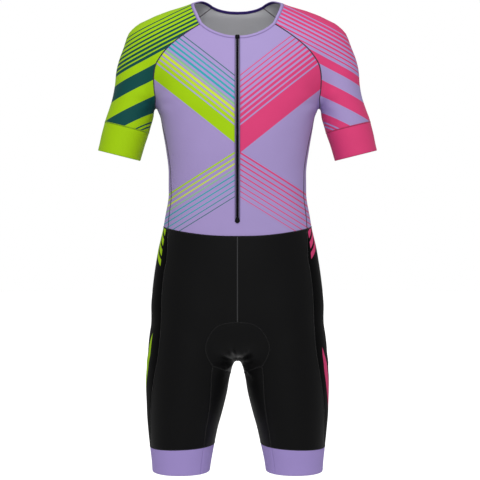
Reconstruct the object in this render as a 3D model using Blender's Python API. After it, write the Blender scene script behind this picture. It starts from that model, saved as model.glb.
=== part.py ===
"""A short-sleeved triathlon suit, worn and empty: panels of one wall each, on one smooth form.

Metres, +Z up, the front faces -Y and the wearer's left is +X. The origin is the middle of the
shoulder line. The form is a smooth union of a trunk, two arms and two legs, each a stack of
oval sections. Every seam is a curve on that form, every panel is a grid between its seams, and
the wall is the grid's points and the same points moved inward.
"""

import math

import bmesh
import bpy
import numpy as np
from mathutils import Matrix, Vector

# ---------------------------------------------------------------- driving sizes, metres
WALL = 0.0016  # cloth, with its seams
BAND_WALL = 0.0019  # cuffs and leg bands
BINDING_WALL = 0.0024
PAD_WALL = 0.0052  # the middle of the crotch pad
SEAM_GAP = 0.00017  # each panel stops this far short of its seam line
BINDING_WIDTH = 0.0052
SLOT_HALF = 0.0031  # half of the front's zip slot
ZIP_HALF = 0.0027
SLOT_BOTTOM_Z = -0.4084
NECK_FRONT_Z = -0.0760
WAIST_FRONT_Z, WAIST_SIDE_Z, WAIST_BACK_Z = -0.4395, -0.4240, -0.4200
WAIST_SEAM, WAIST_BACK_SEAM = math.radians(68.6), math.radians(116)
CUFF_TILT = 0.25  # how much higher the cuff's lines stand on the outer side, for each metre across
CUFF_SEAM_Z, CUFF_HEM_Z = -0.2360, -0.2895  # at the arm's middle
LEG_HEM_Z, LEG_BAND_Z = -0.8885, -0.8378
LEG_BAND_LEAN = -0.0033  # how far the leg band's seam stands off its height on the outer side
LEG_BAND_STOPS = [math.radians(a) for a in (-38.0, 66.0, 116.0, 222.0, 322.0)]
PIT_FAN_X = 0.1985  # the arm's middle beside the armpit
GUSSET_AXIS_X = 0.092
SWEEP_LEVEL = -0.2080, -0.2000  # where the rows of the front and of the back reach the armpit's level

# cells between seams
SLOT, EDGE = 1, 1
FRONT, SIDE, BACK, INNER = 7, 4, 6, 4
RISE, RAGLAN, OVER, TUBE, CUFF = 8, 9, 14, 3, 2
CENTRE, ARC, FLANK, THIGH, BAND = 5, 3, 2, 6, 2
LONGEST_CELL = 0.064


def table(columns, rows):
    """Rows of numbers under named columns, sorted by the first column."""
    rows = np.array(sorted(rows), float)
    return {name: rows[:, i] for i, name in enumerate(columns.split())}


# Trunk: neck, shoulders, chest, waist, hips, down to the fork.
TRUNK = table(
    "z half_width front back power",
    [
        (0.060, 0.056, 0.060, 0.040, 2.0),
        (0.020, 0.060, 0.059, 0.044, 2.0),
        (0.004, 0.071, 0.058, 0.048, 2.0),
        (-0.0067, 0.095, 0.059, 0.052, 2.1),
        (-0.018, 0.132, 0.062, 0.057, 2.1),
        (-0.0295, 0.162, 0.067, 0.066, 2.2),
        (-0.041, 0.180, 0.072, 0.075, 2.2),
        (-0.060, 0.188, 0.082, 0.088, 2.2),
        (-0.100, 0.180, 0.100, 0.104, 2.3),
        (-0.150, 0.165, 0.113, 0.114, 2.4),
        (-0.1975, 0.1535, 0.118, 0.116, 2.4),
        (-0.2233, 0.1454, 0.117, 0.114, 2.4),
        (-0.280, 0.135, 0.112, 0.106, 2.4),
        (-0.326, 0.130, 0.107, 0.099, 2.4),
        (-0.360, 0.130, 0.104, 0.096, 2.4),
        (-0.4057, 0.1378, 0.104, 0.098, 2.4),
        (-0.4285, 0.1416, 0.104, 0.102, 2.4),
        (-0.474, 0.151, 0.106, 0.112, 2.4),
        (-0.520, 0.156, 0.107, 0.121, 2.4),
        (-0.565, 0.158, 0.106, 0.123, 2.4),
        (-0.600, 0.150, 0.103, 0.118, 2.3),
        (-0.630, 0.125, 0.096, 0.106, 2.2),
        (-0.655, 0.085, 0.080, 0.084, 2.1),
        (-0.663, 0.050, 0.060, 0.062, 2.0),
        (-0.668, 0.024, 0.034, 0.034, 2.0),
        (-0.672, 0.003, 0.004, 0.004, 2.0),
    ],
)
TRUNK_END = -0.672
ARM = table(
    "z centre_x half_width front back blend",
    [
        (-0.020, 0.120, 0.010, 0.010, 0.010, 0.016),
        (-0.0320, 0.128, 0.024, 0.022, 0.022, 0.018),
        (-0.0430, 0.137, 0.044, 0.040, 0.040, 0.030),
        (-0.0637, 0.150, 0.054, 0.051, 0.052, 0.040),
        (-0.0865, 0.163, 0.052, 0.056, 0.058, 0.040),
        (-0.109, 0.174, 0.050, 0.058, 0.060, 0.036),
        (-0.132, 0.181, 0.0485, 0.058, 0.060, 0.030),
        (-0.155, 0.185, 0.0465, 0.057, 0.059, 0.022),
        (-0.1777, 0.1905, 0.0450, 0.056, 0.057, 0.014),
        (-0.2005, 0.1995, 0.0430, 0.054, 0.055, 0.008),
        (-0.2233, 0.2062, 0.0445, 0.053, 0.054, 0.006),
        (-0.246, 0.2125, 0.0445, 0.052, 0.053, 0.006),
        (-0.2689, 0.2190, 0.0430, 0.051, 0.052, 0.006),
        (-0.310, 0.2300, 0.0420, 0.050, 0.051, 0.006),
    ],
)
ARM_TOP = -0.020
LEG = table(
    "z centre_x half_width front back",
    [
        (-0.440, 0.060, 0.055, 0.070, 0.075),
        (-0.520, 0.078, 0.070, 0.088, 0.100),
        (-0.565, 0.083, 0.074, 0.095, 0.111),
        (-0.600, 0.0865, 0.0765, 0.098, 0.113),
        (-0.630, 0.0890, 0.0790, 0.099, 0.110),
        (-0.656, 0.0872, 0.0825, 0.098, 0.106),
        (-0.679, 0.0889, 0.0825, 0.096, 0.102),
        (-0.6907, 0.0905, 0.0809, 0.0945, 0.100),
        (-0.7135, 0.0939, 0.0787, 0.0920, 0.097),
        (-0.736, 0.0960, 0.0768, 0.0890, 0.093),
        (-0.759, 0.0984, 0.0740, 0.0860, 0.089),
        (-0.782, 0.1010, 0.0708, 0.0820, 0.084),
        (-0.805, 0.1036, 0.0668, 0.0775, 0.079),
        (-0.828, 0.1054, 0.0633, 0.0735, 0.074),
        (-0.851, 0.1067, 0.0596, 0.0700, 0.070),
        (-0.874, 0.1073, 0.0561, 0.0665, 0.066),
        (-0.910, 0.1079, 0.0526, 0.0635, 0.063),
    ],
)
LEG_TOP = -0.440
LEG_POWER, ARM_POWER = 2.15, 2.1
LEG_BLEND, FORK_BLEND = 0.024, 0.012

# Seam lines as points (x, z) of the front, or of the back where the name says so.
FRONT_RAGLAN = [
    (0.1535, -0.1850), (0.1548, -0.1700), (0.1555, -0.1500), (0.1525, -0.1276),
    (0.1385, -0.1034), (0.1104, -0.0761), (0.0695, -0.0484),
]
BACK_RAGLAN = [
    (0.1535, -0.1850), (0.1555, -0.1700), (0.1570, -0.1480), (0.1530, -0.1210),
    (0.1385, -0.0900), (0.1130, -0.0580), (0.0850, -0.0290), (0.0510, -0.0052),
]
FRONT_NECK = [
    (0.0, NECK_FRONT_Z), (0.012, -0.0755), (0.028, -0.0722), (0.044, -0.0662),
    (0.058, -0.0582), (0.0695, -0.0484),
]
BACK_NECK = [(0.0, -0.0153), (0.015, -0.0147), (0.027, -0.0130), (0.039, -0.0101), (0.0510, -0.0052)]
FRONT_CENTRE_END, BACK_CENTRE_END = -0.5970, -0.5900
FRONT_ARC = [
    (0.0, FRONT_CENTRE_END), (0.0180, -0.5985), (0.0339, -0.6036), (0.0450, -0.6120), (0.0523, -0.6240),
]
FRONT_FLANK = [
    (0.0523, -0.6240), (0.0575, -0.6360), (0.0588, -0.6480), (0.0545, -0.6640), (0.0455, -0.6800),
]
FRONT_THIGH = [(0.0455, -0.6800), (0.0480, -0.7000), (0.0490, -0.7237), (0.0525, -0.7650), (0.0600, -0.8080)]
BACK_ARC = [
    (0.0, BACK_CENTRE_END), (0.0200, -0.5915), (0.0380, -0.5975), (0.0500, -0.6070), (0.0570, -0.6200),
]
BACK_FLANK = [(0.0570, -0.6200), (0.0600, -0.6380), (0.0570, -0.6620), (0.0470, -0.6840)]
BACK_THIGH = [(0.0470, -0.6840), (0.0490, -0.7200), (0.0540, -0.7650), (0.0600, -0.8080)]
# The gusset's middle line from front to back, as (y, z) beside the form; the fork comes between them.
GUSSET_SPINE = [
    (-0.100, -0.597), (-0.094, -0.620), (-0.080, -0.645), (-0.045, -0.668), None,
    (0.045, -0.668), (0.080, -0.645), (0.100, -0.615), (0.110, -0.590),
]
# The bodice's side seam, from the waist up, as angles from the front.
SIDE_SEAM = table(
    "z angle",
    [
        (-0.4300, 68.6), (-0.3900, 70.5), (-0.3400, 71.5), (-0.3000, 72.5), (-0.2600, 74.5),
        (-0.2300, 79.0), (-0.2100, 84.0),
    ],
)
# The shorts' outer seam in front: how far out it lies at each height.
OUTER_SEAM = table(
    "z x",
    [
        (-0.4300, 0.1303), (-0.4550, 0.1295), (-0.4800, 0.1305), (-0.5100, 0.1360), (-0.5500, 0.1395),
        (-0.5860, 0.1410), (-0.6560, 0.1461), (-0.7100, 0.1556), (-0.7440, 0.1605), (-0.7900, 0.1640),
        (-0.8400, 0.1660),
    ],
)
OUTER_BACK_ANGLES = [0, 0.3, 0.6, 1.0], (116.0, 114.0, 114.0, 116.0)
# The upright axis that each row of the shorts turns about.
SHORTS_AXIS = [-0.85, -0.80, -0.74, -0.679, -0.62, -0.56, -0.50, -0.43], \
    [0.1060, 0.1032, 0.0962, 0.0906, 0.0845, 0.0620, 0.0300, 0.0]
# The sleeve's rows turn about the armpit: from armpit (0) to neck (1).
FAN = table(
    "s centre_x centre_z lean bulge",
    [
        (0.00, PIT_FAN_X, -0.1900, 76, 0.0),
        (0.20, 0.1860, -0.1700, 69, 0.0),
        (0.45, 0.1620, -0.1350, 54, 0.0),
        (0.75, 0.1180, -0.0900, 26, 0.05),
        (1.00, 0.0800, -0.0560, 0, 0.38),
    ],
)


# ---------------------------------------------------------------- the worn form


def through(xs, ys, x):
    """The smooth curve through the points (xs, ys), with no overshoot, at x."""
    xs, ys = np.asarray(xs, float), np.asarray(ys, float)
    step = np.diff(ys) / np.diff(xs)
    slope = np.zeros_like(ys)
    both = step[:-1] * step[1:]
    total = step[:-1] + step[1:]
    slope[1:-1] = np.where(both > 0, 2 * both / np.where(total == 0, 1, total), 0)
    slope[0], slope[-1] = step[0], step[-1]
    x = np.clip(x, xs[0], xs[-1])
    i = np.clip(np.searchsorted(xs, x) - 1, 0, len(xs) - 2)
    gap = xs[i + 1] - xs[i]
    t = (x - xs[i]) / gap
    return (
        (1 + 2 * t) * (1 - t) ** 2 * ys[i]
        + t * (1 - t) ** 2 * gap * slope[i]
        + t * t * (3 - 2 * t) * ys[i + 1]
        - t * t * (1 - t) * gap * slope[i + 1]
    )


def column(rows, name, z):
    return through(rows["z"], rows[name], z)


def oval(x, y, half_width, front, back, power):
    """How far a point lies outside an oval section, measured along the line from its centre."""
    deep = np.where(y < 0, front, back)
    reach = np.maximum(np.abs(x / half_width) ** power + np.abs(y / deep) ** power, 1e-12) ** (1 / power)
    return np.hypot(x, y) * (1 - 1 / reach)


def join(a, b, radius):
    """The smaller of two distances, rounded where they cross."""
    h = np.clip(0.5 + 0.5 * (b - a) / radius, 0, 1)
    return b + (a - b) * h - radius * h * (1 - h)


def form(p):
    """Below zero inside the worn suit, zero on the cloth's outer face."""
    x, y, z = p[..., 0], p[..., 1], p[..., 2]
    trunk = oval(x, y, *(column(TRUNK, n, z) for n in ("half_width", "front", "back", "power")))
    trunk = trunk + np.maximum(0, TRUNK_END - z)
    arm_size = [column(ARM, n, z) for n in ("half_width", "front", "back")]
    arm = oval(np.abs(x) - column(ARM, "centre_x", z), y, *arm_size, ARM_POWER)
    arm = arm + 2 * np.maximum(0, z - ARM_TOP)
    leg_size = [column(LEG, n, z) for n in ("half_width", "front", "back")]
    centre = column(LEG, "centre_x", z)
    legs = join(
        oval(x - centre, y, *leg_size, LEG_POWER),
        oval(x + centre, y, *leg_size, LEG_POWER),
        FORK_BLEND,
    )
    legs = legs + 2 * np.maximum(0, z - LEG_TOP)
    return join(join(trunk, arm, column(ARM, "blend", z)), legs, LEG_BLEND)


def slope_of(p, reach):
    """The form's gradient."""
    ahead_behind = [form(p + reach * axis) - form(p - reach * axis) for axis in np.eye(3)]
    return np.stack(ahead_behind, axis=-1) / (2 * reach)


def outward(p, reach=0.0012):
    """The form's unit normal at points that lie on it."""
    slope = slope_of(np.asarray(p, float), reach)
    return slope / np.linalg.norm(slope, axis=-1, keepdims=True)


def onto(p, rounds=14):
    """Points near the form, moved onto it."""
    p = np.array(p, float)
    for _ in range(rounds):
        slope = slope_of(p, 5e-4)
        size = np.maximum((slope**2).sum(-1), 0.05)
        step = np.clip(form(p) / size, -0.01, 0.01)
        p = p - step[..., None] * slope
    return p


def cast(start, along, reach=0.40, tries=100, halvings=24):
    """Where lines that start inside the form leave it."""
    start, along = np.broadcast_arrays(np.asarray(start, float), np.asarray(along, float))
    along = along / np.linalg.norm(along, axis=-1, keepdims=True)
    tried = np.linspace(0.004, reach, tries)
    values = form(start[..., None, :] + tried[:, None] * along[..., None, :])
    first = np.argmax(values > 0, axis=-1)
    high = tried[first]
    low = np.where(first > 0, tried[np.maximum(first - 1, 0)], 0.0)
    for _ in range(halvings):
        middle = (low + high) / 2
        out = form(start + middle[..., None] * along) > 0
        high, low = np.where(out, middle, high), np.where(out, low, middle)
    return start + low[..., None] * along


def facing(x, z, side=-1):
    """The point of the form's front (side -1) or back (+1) at this x and z."""
    x, z = np.broadcast_arrays(np.asarray(x, float), np.asarray(z, float))
    start = np.stack([x, 0 * x, z], axis=-1)
    return cast(start, (0.0, float(side), 0.0))


def spin(angle, z, centre_x=0.0, **search):
    """The point at this angle from the front (outward to +X) about an upright axis, at height z."""
    angle, z, centre_x = np.broadcast_arrays(
        np.asarray(angle, float), np.asarray(z, float), np.asarray(centre_x, float)
    )
    along = np.stack([np.sin(angle), -np.cos(angle), 0 * angle], axis=-1)
    return cast(np.stack([centre_x, 0 * angle, z], axis=-1), along, **search)


ARM_SEARCH = {"reach": 0.13, "tries": 500}  # fine enough for the narrow gap below the armpit


def mended(row):
    """A row whose ends are right, with any point that jumped across the armpit's gap put back in line."""
    good = np.ones(len(row), bool)
    middle = len(row) // 2
    for step, end in ((1, len(row) - 1), (-1, 0)):
        last = middle
        for i in range(middle + step, end, step):
            good[i] = np.linalg.norm(row[i] - row[last]) < LONGEST_CELL * abs(i - last)
            last = i if good[i] else last
    if good.all():
        return row
    spots = np.flatnonzero(good)
    filled = np.stack([np.interp(np.arange(len(row)), spots, values) for values in row[spots].T], axis=-1)
    return np.where(good[:, None], row, onto(filled))


# ---------------------------------------------------------------- lines and grids


def angle_of(p, centre_x, lowest):
    """The angle of a point about an upright axis, in the turn that starts at lowest."""
    angle = np.arctan2(p[..., 0] - centre_x, -p[..., 1])
    return lowest + np.mod(angle - lowest, 2 * math.pi)


def share(points):
    """How far along its own length each point of a line lies, from 0 to 1."""
    run = np.concatenate([[0], np.cumsum(np.linalg.norm(np.diff(points, axis=0), axis=-1))])
    return run / run[-1]


def even(points, cells):
    """A line through these points, cut into cells of equal length."""
    points = np.asarray(points, float)
    steps = np.linspace(0, 1, 241)
    dense = np.stack([through(share(points), values, steps) for values in points.T], axis=-1)
    want = np.linspace(0, 1, cells + 1)
    return np.stack([np.interp(want, share(dense), values) for values in dense.T], axis=-1)


def chain(*lines):
    """Lines that meet end to end, as one."""
    return np.concatenate([lines[0], *(line[1:] for line in lines[1:])])


def mirrored(points):
    return points * np.array([-1.0, 1.0, 1.0])


def seam(points, side=-1):
    """Points given as (x, z) on the front or the back, as a line on the form."""
    points = np.array(points, float)
    return facing(points[:, 0], points[:, 1], side)


def between(first, last, left, right, u, v):
    """A Coons grid between four lines: u runs along the rows, v down the columns."""
    u, v = u[None, :, None], v[:, None, None]
    grid = (1 - v) * first[None] + v * last[None] + (1 - u) * left[:, None] + u * right[:, None]
    corners = (1 - v) * ((1 - u) * first[0] + u * first[-1]) + v * ((1 - u) * last[0] + u * last[-1])
    return grid - corners


def patch(first_row, last_row, left, right, centres, lowest=-math.pi):
    """A grid on the form between four seam lines, its rows swept about an upright axis.

    first_row and last_row run from left to right; left and right hold one point a row.
    """
    centres = np.broadcast_to(centres, len(left))

    def flat(points, centre):
        return np.stack([angle_of(points, centre, lowest), points[..., 2]], axis=-1)

    grid = between(
        flat(first_row, centres[0]),
        flat(last_row, centres[-1]),
        flat(left, centres),
        flat(right, centres),
        np.linspace(0, 1, len(first_row)),
        0.5 * share(left) + 0.5 * share(right),
    )
    points = spin(grid[..., 0], grid[..., 1], centres[:, None])
    points[0], points[-1], points[:, 0], points[:, -1] = first_row, last_row, left, right
    return np.array([mended(row) for row in points])


def armpit_point():
    """The top of the hollow between the arm and the trunk."""
    x = np.linspace(0.135, 0.185, 201)
    low, high = -0.230, -0.150
    for _ in range(40):
        z = (low + high) / 2
        ridge = form(np.stack([x, 0 * x, z + 0 * x], axis=-1))
        split = x[np.argmax(ridge)]
        low, high = (low, z) if ridge.max() < 0 else (z, high)
    return np.array([split, 0.0, (low + high) / 2])


def fork_height():
    low, high = -0.72, -0.64
    for _ in range(40):
        z = (low + high) / 2
        low, high = (low, z) if form(np.array([0.0, 0.0, z])) < 0 else (z, high)
    return (low + high) / 2


def waist_height(angle):
    """The waist seam, nearly level in front and behind, and steeper toward the sides."""
    rise = np.where(np.cos(angle) > 0, WAIST_FRONT_Z - WAIST_SIDE_Z, WAIST_BACK_Z - WAIST_SIDE_Z)
    return WAIST_SIDE_Z + (1 - np.abs(np.sin(angle)) ** 3) * rise


def bodice_seams():
    """The seam lines of the bodice, cut into the cells that the panels on their two sides share."""
    pit = armpit_point()
    at = {}
    at["front_raglan"] = onto(even(np.vstack([pit, seam(FRONT_RAGLAN)]), RAGLAN))
    at["back_raglan"] = onto(even(np.vstack([pit, seam(BACK_RAGLAN, 1)]), RAGLAN))
    at["front_raglan"][0] = at["back_raglan"][0] = pit

    heights = SIDE_SEAM["z"].copy()
    heights[0] = waist_height(WAIST_SEAM)
    at["side"] = onto(even(np.vstack([spin(np.radians(SIDE_SEAM["angle"]), heights), pit]), RISE))
    at["side"][-1] = pit

    for name, start, end, cells in (
        ("waist_front", 0.0, WAIST_SEAM, FRONT),
        ("waist_side", WAIST_SEAM, WAIST_BACK_SEAM, SIDE),
        ("waist_back", WAIST_BACK_SEAM, math.pi, BACK),
    ):
        turn = np.linspace(start, end, cells + 1)
        at[name] = spin(turn, waist_height(turn))

    at["neck_front"] = even(seam(FRONT_NECK), FRONT)
    at["neck_back"] = even(seam(BACK_NECK, 1), SIDE + BACK)
    at["neck_front"][-1] = at["front_raglan"][-1]
    at["neck_back"][-1] = at["back_raglan"][-1]
    return at


def bodice_front(at):
    """The front's half, from the waist up; its column SLOT runs along the zip slot's edge."""
    heights = np.concatenate([
        np.linspace(WAIST_FRONT_Z, SLOT_BOTTOM_Z, SLOT + 1),
        np.linspace(SLOT_BOTTOM_Z, SWEEP_LEVEL[0], RISE - SLOT + 1)[1:],
        np.linspace(SWEEP_LEVEL[0], NECK_FRONT_Z, RAGLAN + 1)[1:],
    ])
    outer = chain(at["side"], at["front_raglan"])
    grid = patch(at["waist_front"], at["neck_front"], facing(0 * heights, heights), outer, 0.0)
    narrow = np.clip((heights - WAIST_FRONT_Z) / (SLOT_BOTTOM_Z - WAIST_FRONT_Z), 0, 1)
    spread = grid[:, SLOT, 0] * (1 - narrow) + SLOT_HALF * narrow
    turn = angle_of(grid, 0.0, -math.pi)
    new = np.arctan2(spread, -facing(spread, grid[:, SLOT, 2])[:, 1])
    inner = np.arange(FRONT + 1) <= SLOT
    for i in range(1, len(grid)):
        last, old = turn[i, -1], turn[i, SLOT]
        outside = last - (last - turn[i]) * (last - new[i]) / (last - old)
        want = np.where(inner, turn[i] * new[i] / old, outside)
        edge = grid[i, -1].copy()
        grid[i] = spin(want, np.interp(want, turn[i], grid[i, :, 2]))
        grid[i, -1] = edge
    at["neck_front"] = grid[-1]
    return grid


def bodice_back(at):
    """The back's half, from the side seam round to its middle."""
    heights = np.concatenate([
        np.linspace(WAIST_BACK_Z, SWEEP_LEVEL[1], RISE + 1),
        np.linspace(SWEEP_LEVEL[1], float(at["neck_back"][0, 2]), RAGLAN + 1)[1:],
    ])
    middle = facing(0 * heights, heights, 1)
    outer = chain(at["side"], at["back_raglan"])
    waist = chain(at["waist_side"], at["waist_back"])
    return patch(waist, at["neck_back"][::-1], outer, middle, 0.0, 0.0)


def fan_row(s, start, end):
    """One row of the sleeve from its front seam over the shoulder to its back seam."""
    centre_x, centre_z, lean, bulge = (
        float(through(FAN["s"], FAN[n], s)) for n in ("centre_x", "centre_z", "lean", "bulge")
    )
    centre = np.array([centre_x, 0.0, centre_z])
    lean = math.radians(lean)
    ahead = np.array([0.0, -1.0, 0.0])
    top = np.array([math.sin(lean), 0.0, math.cos(lean)])
    across = np.array([math.cos(lean), 0.0, -math.sin(lean)])

    def turned(point, lowest):
        d = point - centre
        angle = lowest + (math.atan2(d @ top, d @ ahead) - lowest) % (2 * math.pi)
        return angle, (d @ across) / math.hypot(d @ top, d @ ahead)

    first, first_off = turned(start, -math.pi * 0.9)
    last, last_off = turned(end, math.pi * 0.1)
    if s == 0:
        first, last = -math.pi / 2, 1.5 * math.pi
    u = np.linspace(0, 1, OVER + 1)
    angle = first + (last - first) * u
    off = first_off + (last_off - first_off) * u + bulge * np.sin(math.pi * u)
    along = np.cos(angle)[:, None] * ahead + np.sin(angle)[:, None] * top + off[:, None] * across
    row = cast(centre, along, **ARM_SEARCH)
    row[0], row[-1] = start, end
    return mended(row)


def arm_ring(z):
    """A ring round the arm on a tilted plane, starting and ending under the arm."""
    centre_x = float(column(ARM, "centre_x", z))
    angle = -math.pi / 2 + np.linspace(0, 2 * math.pi, OVER + 1)
    ring = spin(angle, z, centre_x, **ARM_SEARCH)
    for _ in range(5):
        ring = spin(angle, z + CUFF_TILT * (ring[:, 0] - centre_x), centre_x, **ARM_SEARCH)
    ring[-1] = ring[0]
    return ring


def sleeve_and_cuff(at):
    """Fan rows from the neck to the armpit, then rings down to the cuff's seam and its hem."""
    rows = [
        fan_row(i / RAGLAN, at["front_raglan"][i], at["back_raglan"][i]) for i in range(RAGLAN, -1, -1)
    ]
    at["neck_side"], pit_row = rows[0], rows[-1]
    seam_ring = arm_ring(CUFF_SEAM_Z)
    first = angle_of(pit_row, PIT_FAN_X, -math.pi / 2 - 0.05)
    first[0], first[-1] = -math.pi / 2, 1.5 * math.pi
    last = -math.pi / 2 + np.linspace(0, 2 * math.pi, OVER + 1)
    for k in range(1, TUBE):
        t = k / TUBE
        z = pit_row[:, 2] * (1 - t) + seam_ring[:, 2] * t
        ring = spin(first * (1 - t) + last * t, z, column(ARM, "centre_x", z), **ARM_SEARCH)
        ring[-1] = ring[0]
        rows.append(mended(ring))
    rows.append(seam_ring)
    cuff = [seam_ring]
    cuff += [arm_ring(CUFF_SEAM_Z + (CUFF_HEM_Z - CUFF_SEAM_Z) * k / CUFF) for k in range(1, CUFF + 1)]
    return np.array(rows), np.array(cuff)


def neck_binding(at):
    """The binding's half, from the zip round to the middle of the back."""
    edge = chain(at["neck_front"][SLOT:], at["neck_side"], at["neck_back"][::-1])
    rise = np.cross(outward(edge, 0.004), np.gradient(edge, axis=0))
    rise /= np.linalg.norm(rise, axis=-1, keepdims=True)
    up = (rise * (np.array([0.0, 0.0, 0.03]) - edge)).sum(-1, keepdims=True)
    rise *= np.where(up < 0, -1.0, 1.0)
    rise[0, 0] = rise[-1, 0] = 0.0
    rows = [edge]
    for k in range(1, EDGE + 1):
        row = onto(edge + rise * BINDING_WIDTH * k / EDGE)
        row[0, 0], row[-1, 0] = SLOT_HALF, 0.0
        rows.append(row)
    return np.array(rows)


def leg_band_height(turn):
    return LEG_BAND_Z + LEG_BAND_LEAN * np.sin(turn)


def shorts(at, panels):
    """The shorts' panels of one side, the gusset's half and the leg band."""
    band_x = float(column(LEG, "centre_x", LEG_BAND_Z))
    ring = {}
    for k, (name, cells) in enumerate((("front", FRONT), ("side", SIDE), ("back", BACK), ("inner", INNER))):
        turn = np.linspace(LEG_BAND_STOPS[k], LEG_BAND_STOPS[k + 1], cells + 1)
        ring[name] = spin(turn, leg_band_height(turn), band_x)
    ring["inner"][-1] = ring["front"][0]

    # The inner edge of the front and of the back, from the waist down to the leg band.
    inner = {}
    for name, side, waist_z, centre_end, arc, flank, thigh, foot, top in (
        ("front", -1, WAIST_FRONT_Z, FRONT_CENTRE_END, FRONT_ARC, FRONT_FLANK, FRONT_THIGH,
         ring["front"][0], at["waist_front"][0]),
        ("back", 1, WAIST_BACK_Z, BACK_CENTRE_END, BACK_ARC, BACK_FLANK, BACK_THIGH,
         ring["back"][-1], at["waist_back"][-1]),
    ):
        line = onto(chain(
            facing(0.0, np.linspace(waist_z, centre_end, CENTRE + 1), side),
            even(seam(arc, side), ARC),
            even(seam(flank, side), FLANK),
            even(np.vstack([seam(thigh, side), foot]), THIGH),
        ))
        line[0], line[-1] = top, foot
        line[: CENTRE + 1, 0] = 0.0
        inner[name] = line

    # The side panel's two seams: one point for each row, spaced like the inner lines.
    rows = CENTRE + ARC + FLANK + THIGH
    down = inner["front"][:, 2] - inner["front"][0, 2]
    pace = 0.5 * down / down[-1] + 0.5 * np.linspace(0, 1, rows + 1)
    axis_x = through(*SHORTS_AXIS, WAIST_SIDE_Z + pace * (LEG_BAND_Z - WAIST_SIDE_Z))
    axis_x[0], axis_x[-1] = 0.0, band_x

    def paced(top, bottom):
        return top[2] + pace * (bottom[2] - top[2])

    height = paced(at["waist_side"][0], ring["side"][0])
    outer = facing(column(OUTER_SEAM, "x", height), height)
    outer[0], outer[-1] = at["waist_side"][0], ring["side"][0]
    height = paced(at["waist_side"][-1], ring["side"][-1])
    outer_back = spin(np.radians(through(*OUTER_BACK_ANGLES, pace)), height, axis_x)
    outer_back[0], outer_back[-1] = at["waist_side"][-1], ring["side"][-1]
    panels["shorts_front"] = patch(at["waist_front"], ring["front"], inner["front"], outer, axis_x)
    panels["shorts_side"] = patch(at["waist_side"], ring["side"], outer, outer_back, axis_x, 0.0)
    panels["shorts_back"] = patch(at["waist_back"], ring["back"], outer_back, inner["back"], axis_x, 0.5)

    # The gusset's lower edge dips along the inner thigh, and the inner leg hangs from it.
    split = CENTRE + ARC + FLANK
    start, end = inner["back"][split], inner["front"][split]
    u = np.linspace(0, 1, INNER + 1)
    turn = np.linspace(angle_of(start, GUSSET_AXIS_X, 0.5), angle_of(end, GUSSET_AXIS_X, math.pi), INNER + 1)
    under = spin(turn, start[2] * (1 - u) + end[2] * u - 0.020 * np.sin(math.pi * u), GUSSET_AXIS_X)
    under[0], under[-1] = start, end
    panels["inner_leg"] = patch(
        under, ring["inner"], inner["back"][split:], inner["front"][split:], axis_x[split:], math.pi * 0.75
    )

    # Crotch gusset: rows from front to back, from its middle to its edge.
    corner = CENTRE + ARC
    edge = chain(inner["front"][corner : split + 1], under[::-1], inner["back"][corner : split + 1][::-1])
    first, last = inner["front"][CENTRE : corner + 1], inner["back"][CENTRE : corner + 1]
    fork = fork_height()
    spine = onto(np.array([(0.0, *(point or (0.0, fork))) for point in GUSSET_SPINE]))
    spine[0], spine[-1] = first[0], last[0]
    spine[:, 0] = 0.0
    spine = onto(even(spine, len(edge) - 1))
    spine[:, 0] = 0.0
    spine[0], spine[-1] = first[0], last[0]
    grid = onto(between(first, last, spine, edge, np.linspace(0, 1, len(first)), share(spine)), 30)
    grid[0], grid[-1], grid[:, 0], grid[:, -1] = first, last, spine, edge
    panels["gusset"] = grid

    whole = chain(ring["front"], ring["side"], ring["back"], ring["inner"])
    turn = angle_of(whole, band_x, LEG_BAND_STOPS[0] - 1e-6)
    turn[-1] = turn[0] + 2 * math.pi
    band = [whole]
    for k in range(1, BAND + 1):
        t = k / BAND
        z = leg_band_height(turn) * (1 - t) + LEG_HEM_Z * t
        row = spin(turn, z, column(LEG, "centre_x", z))
        row[-1] = row[0]
        band.append(row)
    panels["leg_band"] = np.array(band)


def make_panels():
    """Every cloth panel of the wearer's left half, by name, as a grid of points."""
    at = bodice_seams()
    panels = {"front": bodice_front(at), "back": bodice_back(at)}
    panels["sleeve"], panels["cuff"] = sleeve_and_cuff(at)
    panels["binding"] = neck_binding(at)
    shorts(at, panels)
    top = float(panels["binding"][-1, 0, 2])
    z = np.concatenate([[top], panels["front"][::-1, SLOT, 2][: RAGLAN + RISE - SLOT + 1]])
    z[-1] += 0.0004
    x = np.linspace(0, ZIP_HALF, 2)
    panels["zip"] = facing(x[None, :] + 0 * z[:, None], z[:, None] + 0 * x[None, :])
    return panels


def both_halves(grid):
    """A half grid whose first column lies on the middle line, with its mirror image."""
    return np.concatenate([mirrored(grid[:, :0:-1]), grid], axis=1)


# ---------------------------------------------------------------- from grids to solids

WELD = 2e-6  # points closer than this are one
MITRE_LEAST = 0.35  # keeps the corners of a drawn-back sheet from running away
PAD_HALF = 0.058  # the pad's half width
PAD_FRONT_Z, PAD_FRONT_FADE = -0.604, 0.030  # where the pad starts, and how far it takes to thicken
PAD_LOW_Z, PAD_LOW_FADE = -0.702, 0.018


def welded(corners):
    """Triangles' corners as points and faces, with equal points made one and collapsed faces dropped."""
    key = np.round(corners.reshape(-1, 3) / WELD).astype(np.int64)
    _, first, index = np.unique(key, axis=0, return_index=True, return_inverse=True)
    faces = index.reshape(-1, 3)
    whole = (faces[:, 0] != faces[:, 1]) & (faces[:, 1] != faces[:, 2]) & (faces[:, 0] != faces[:, 2])
    return corners.reshape(-1, 3)[first], faces[whole]


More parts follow.
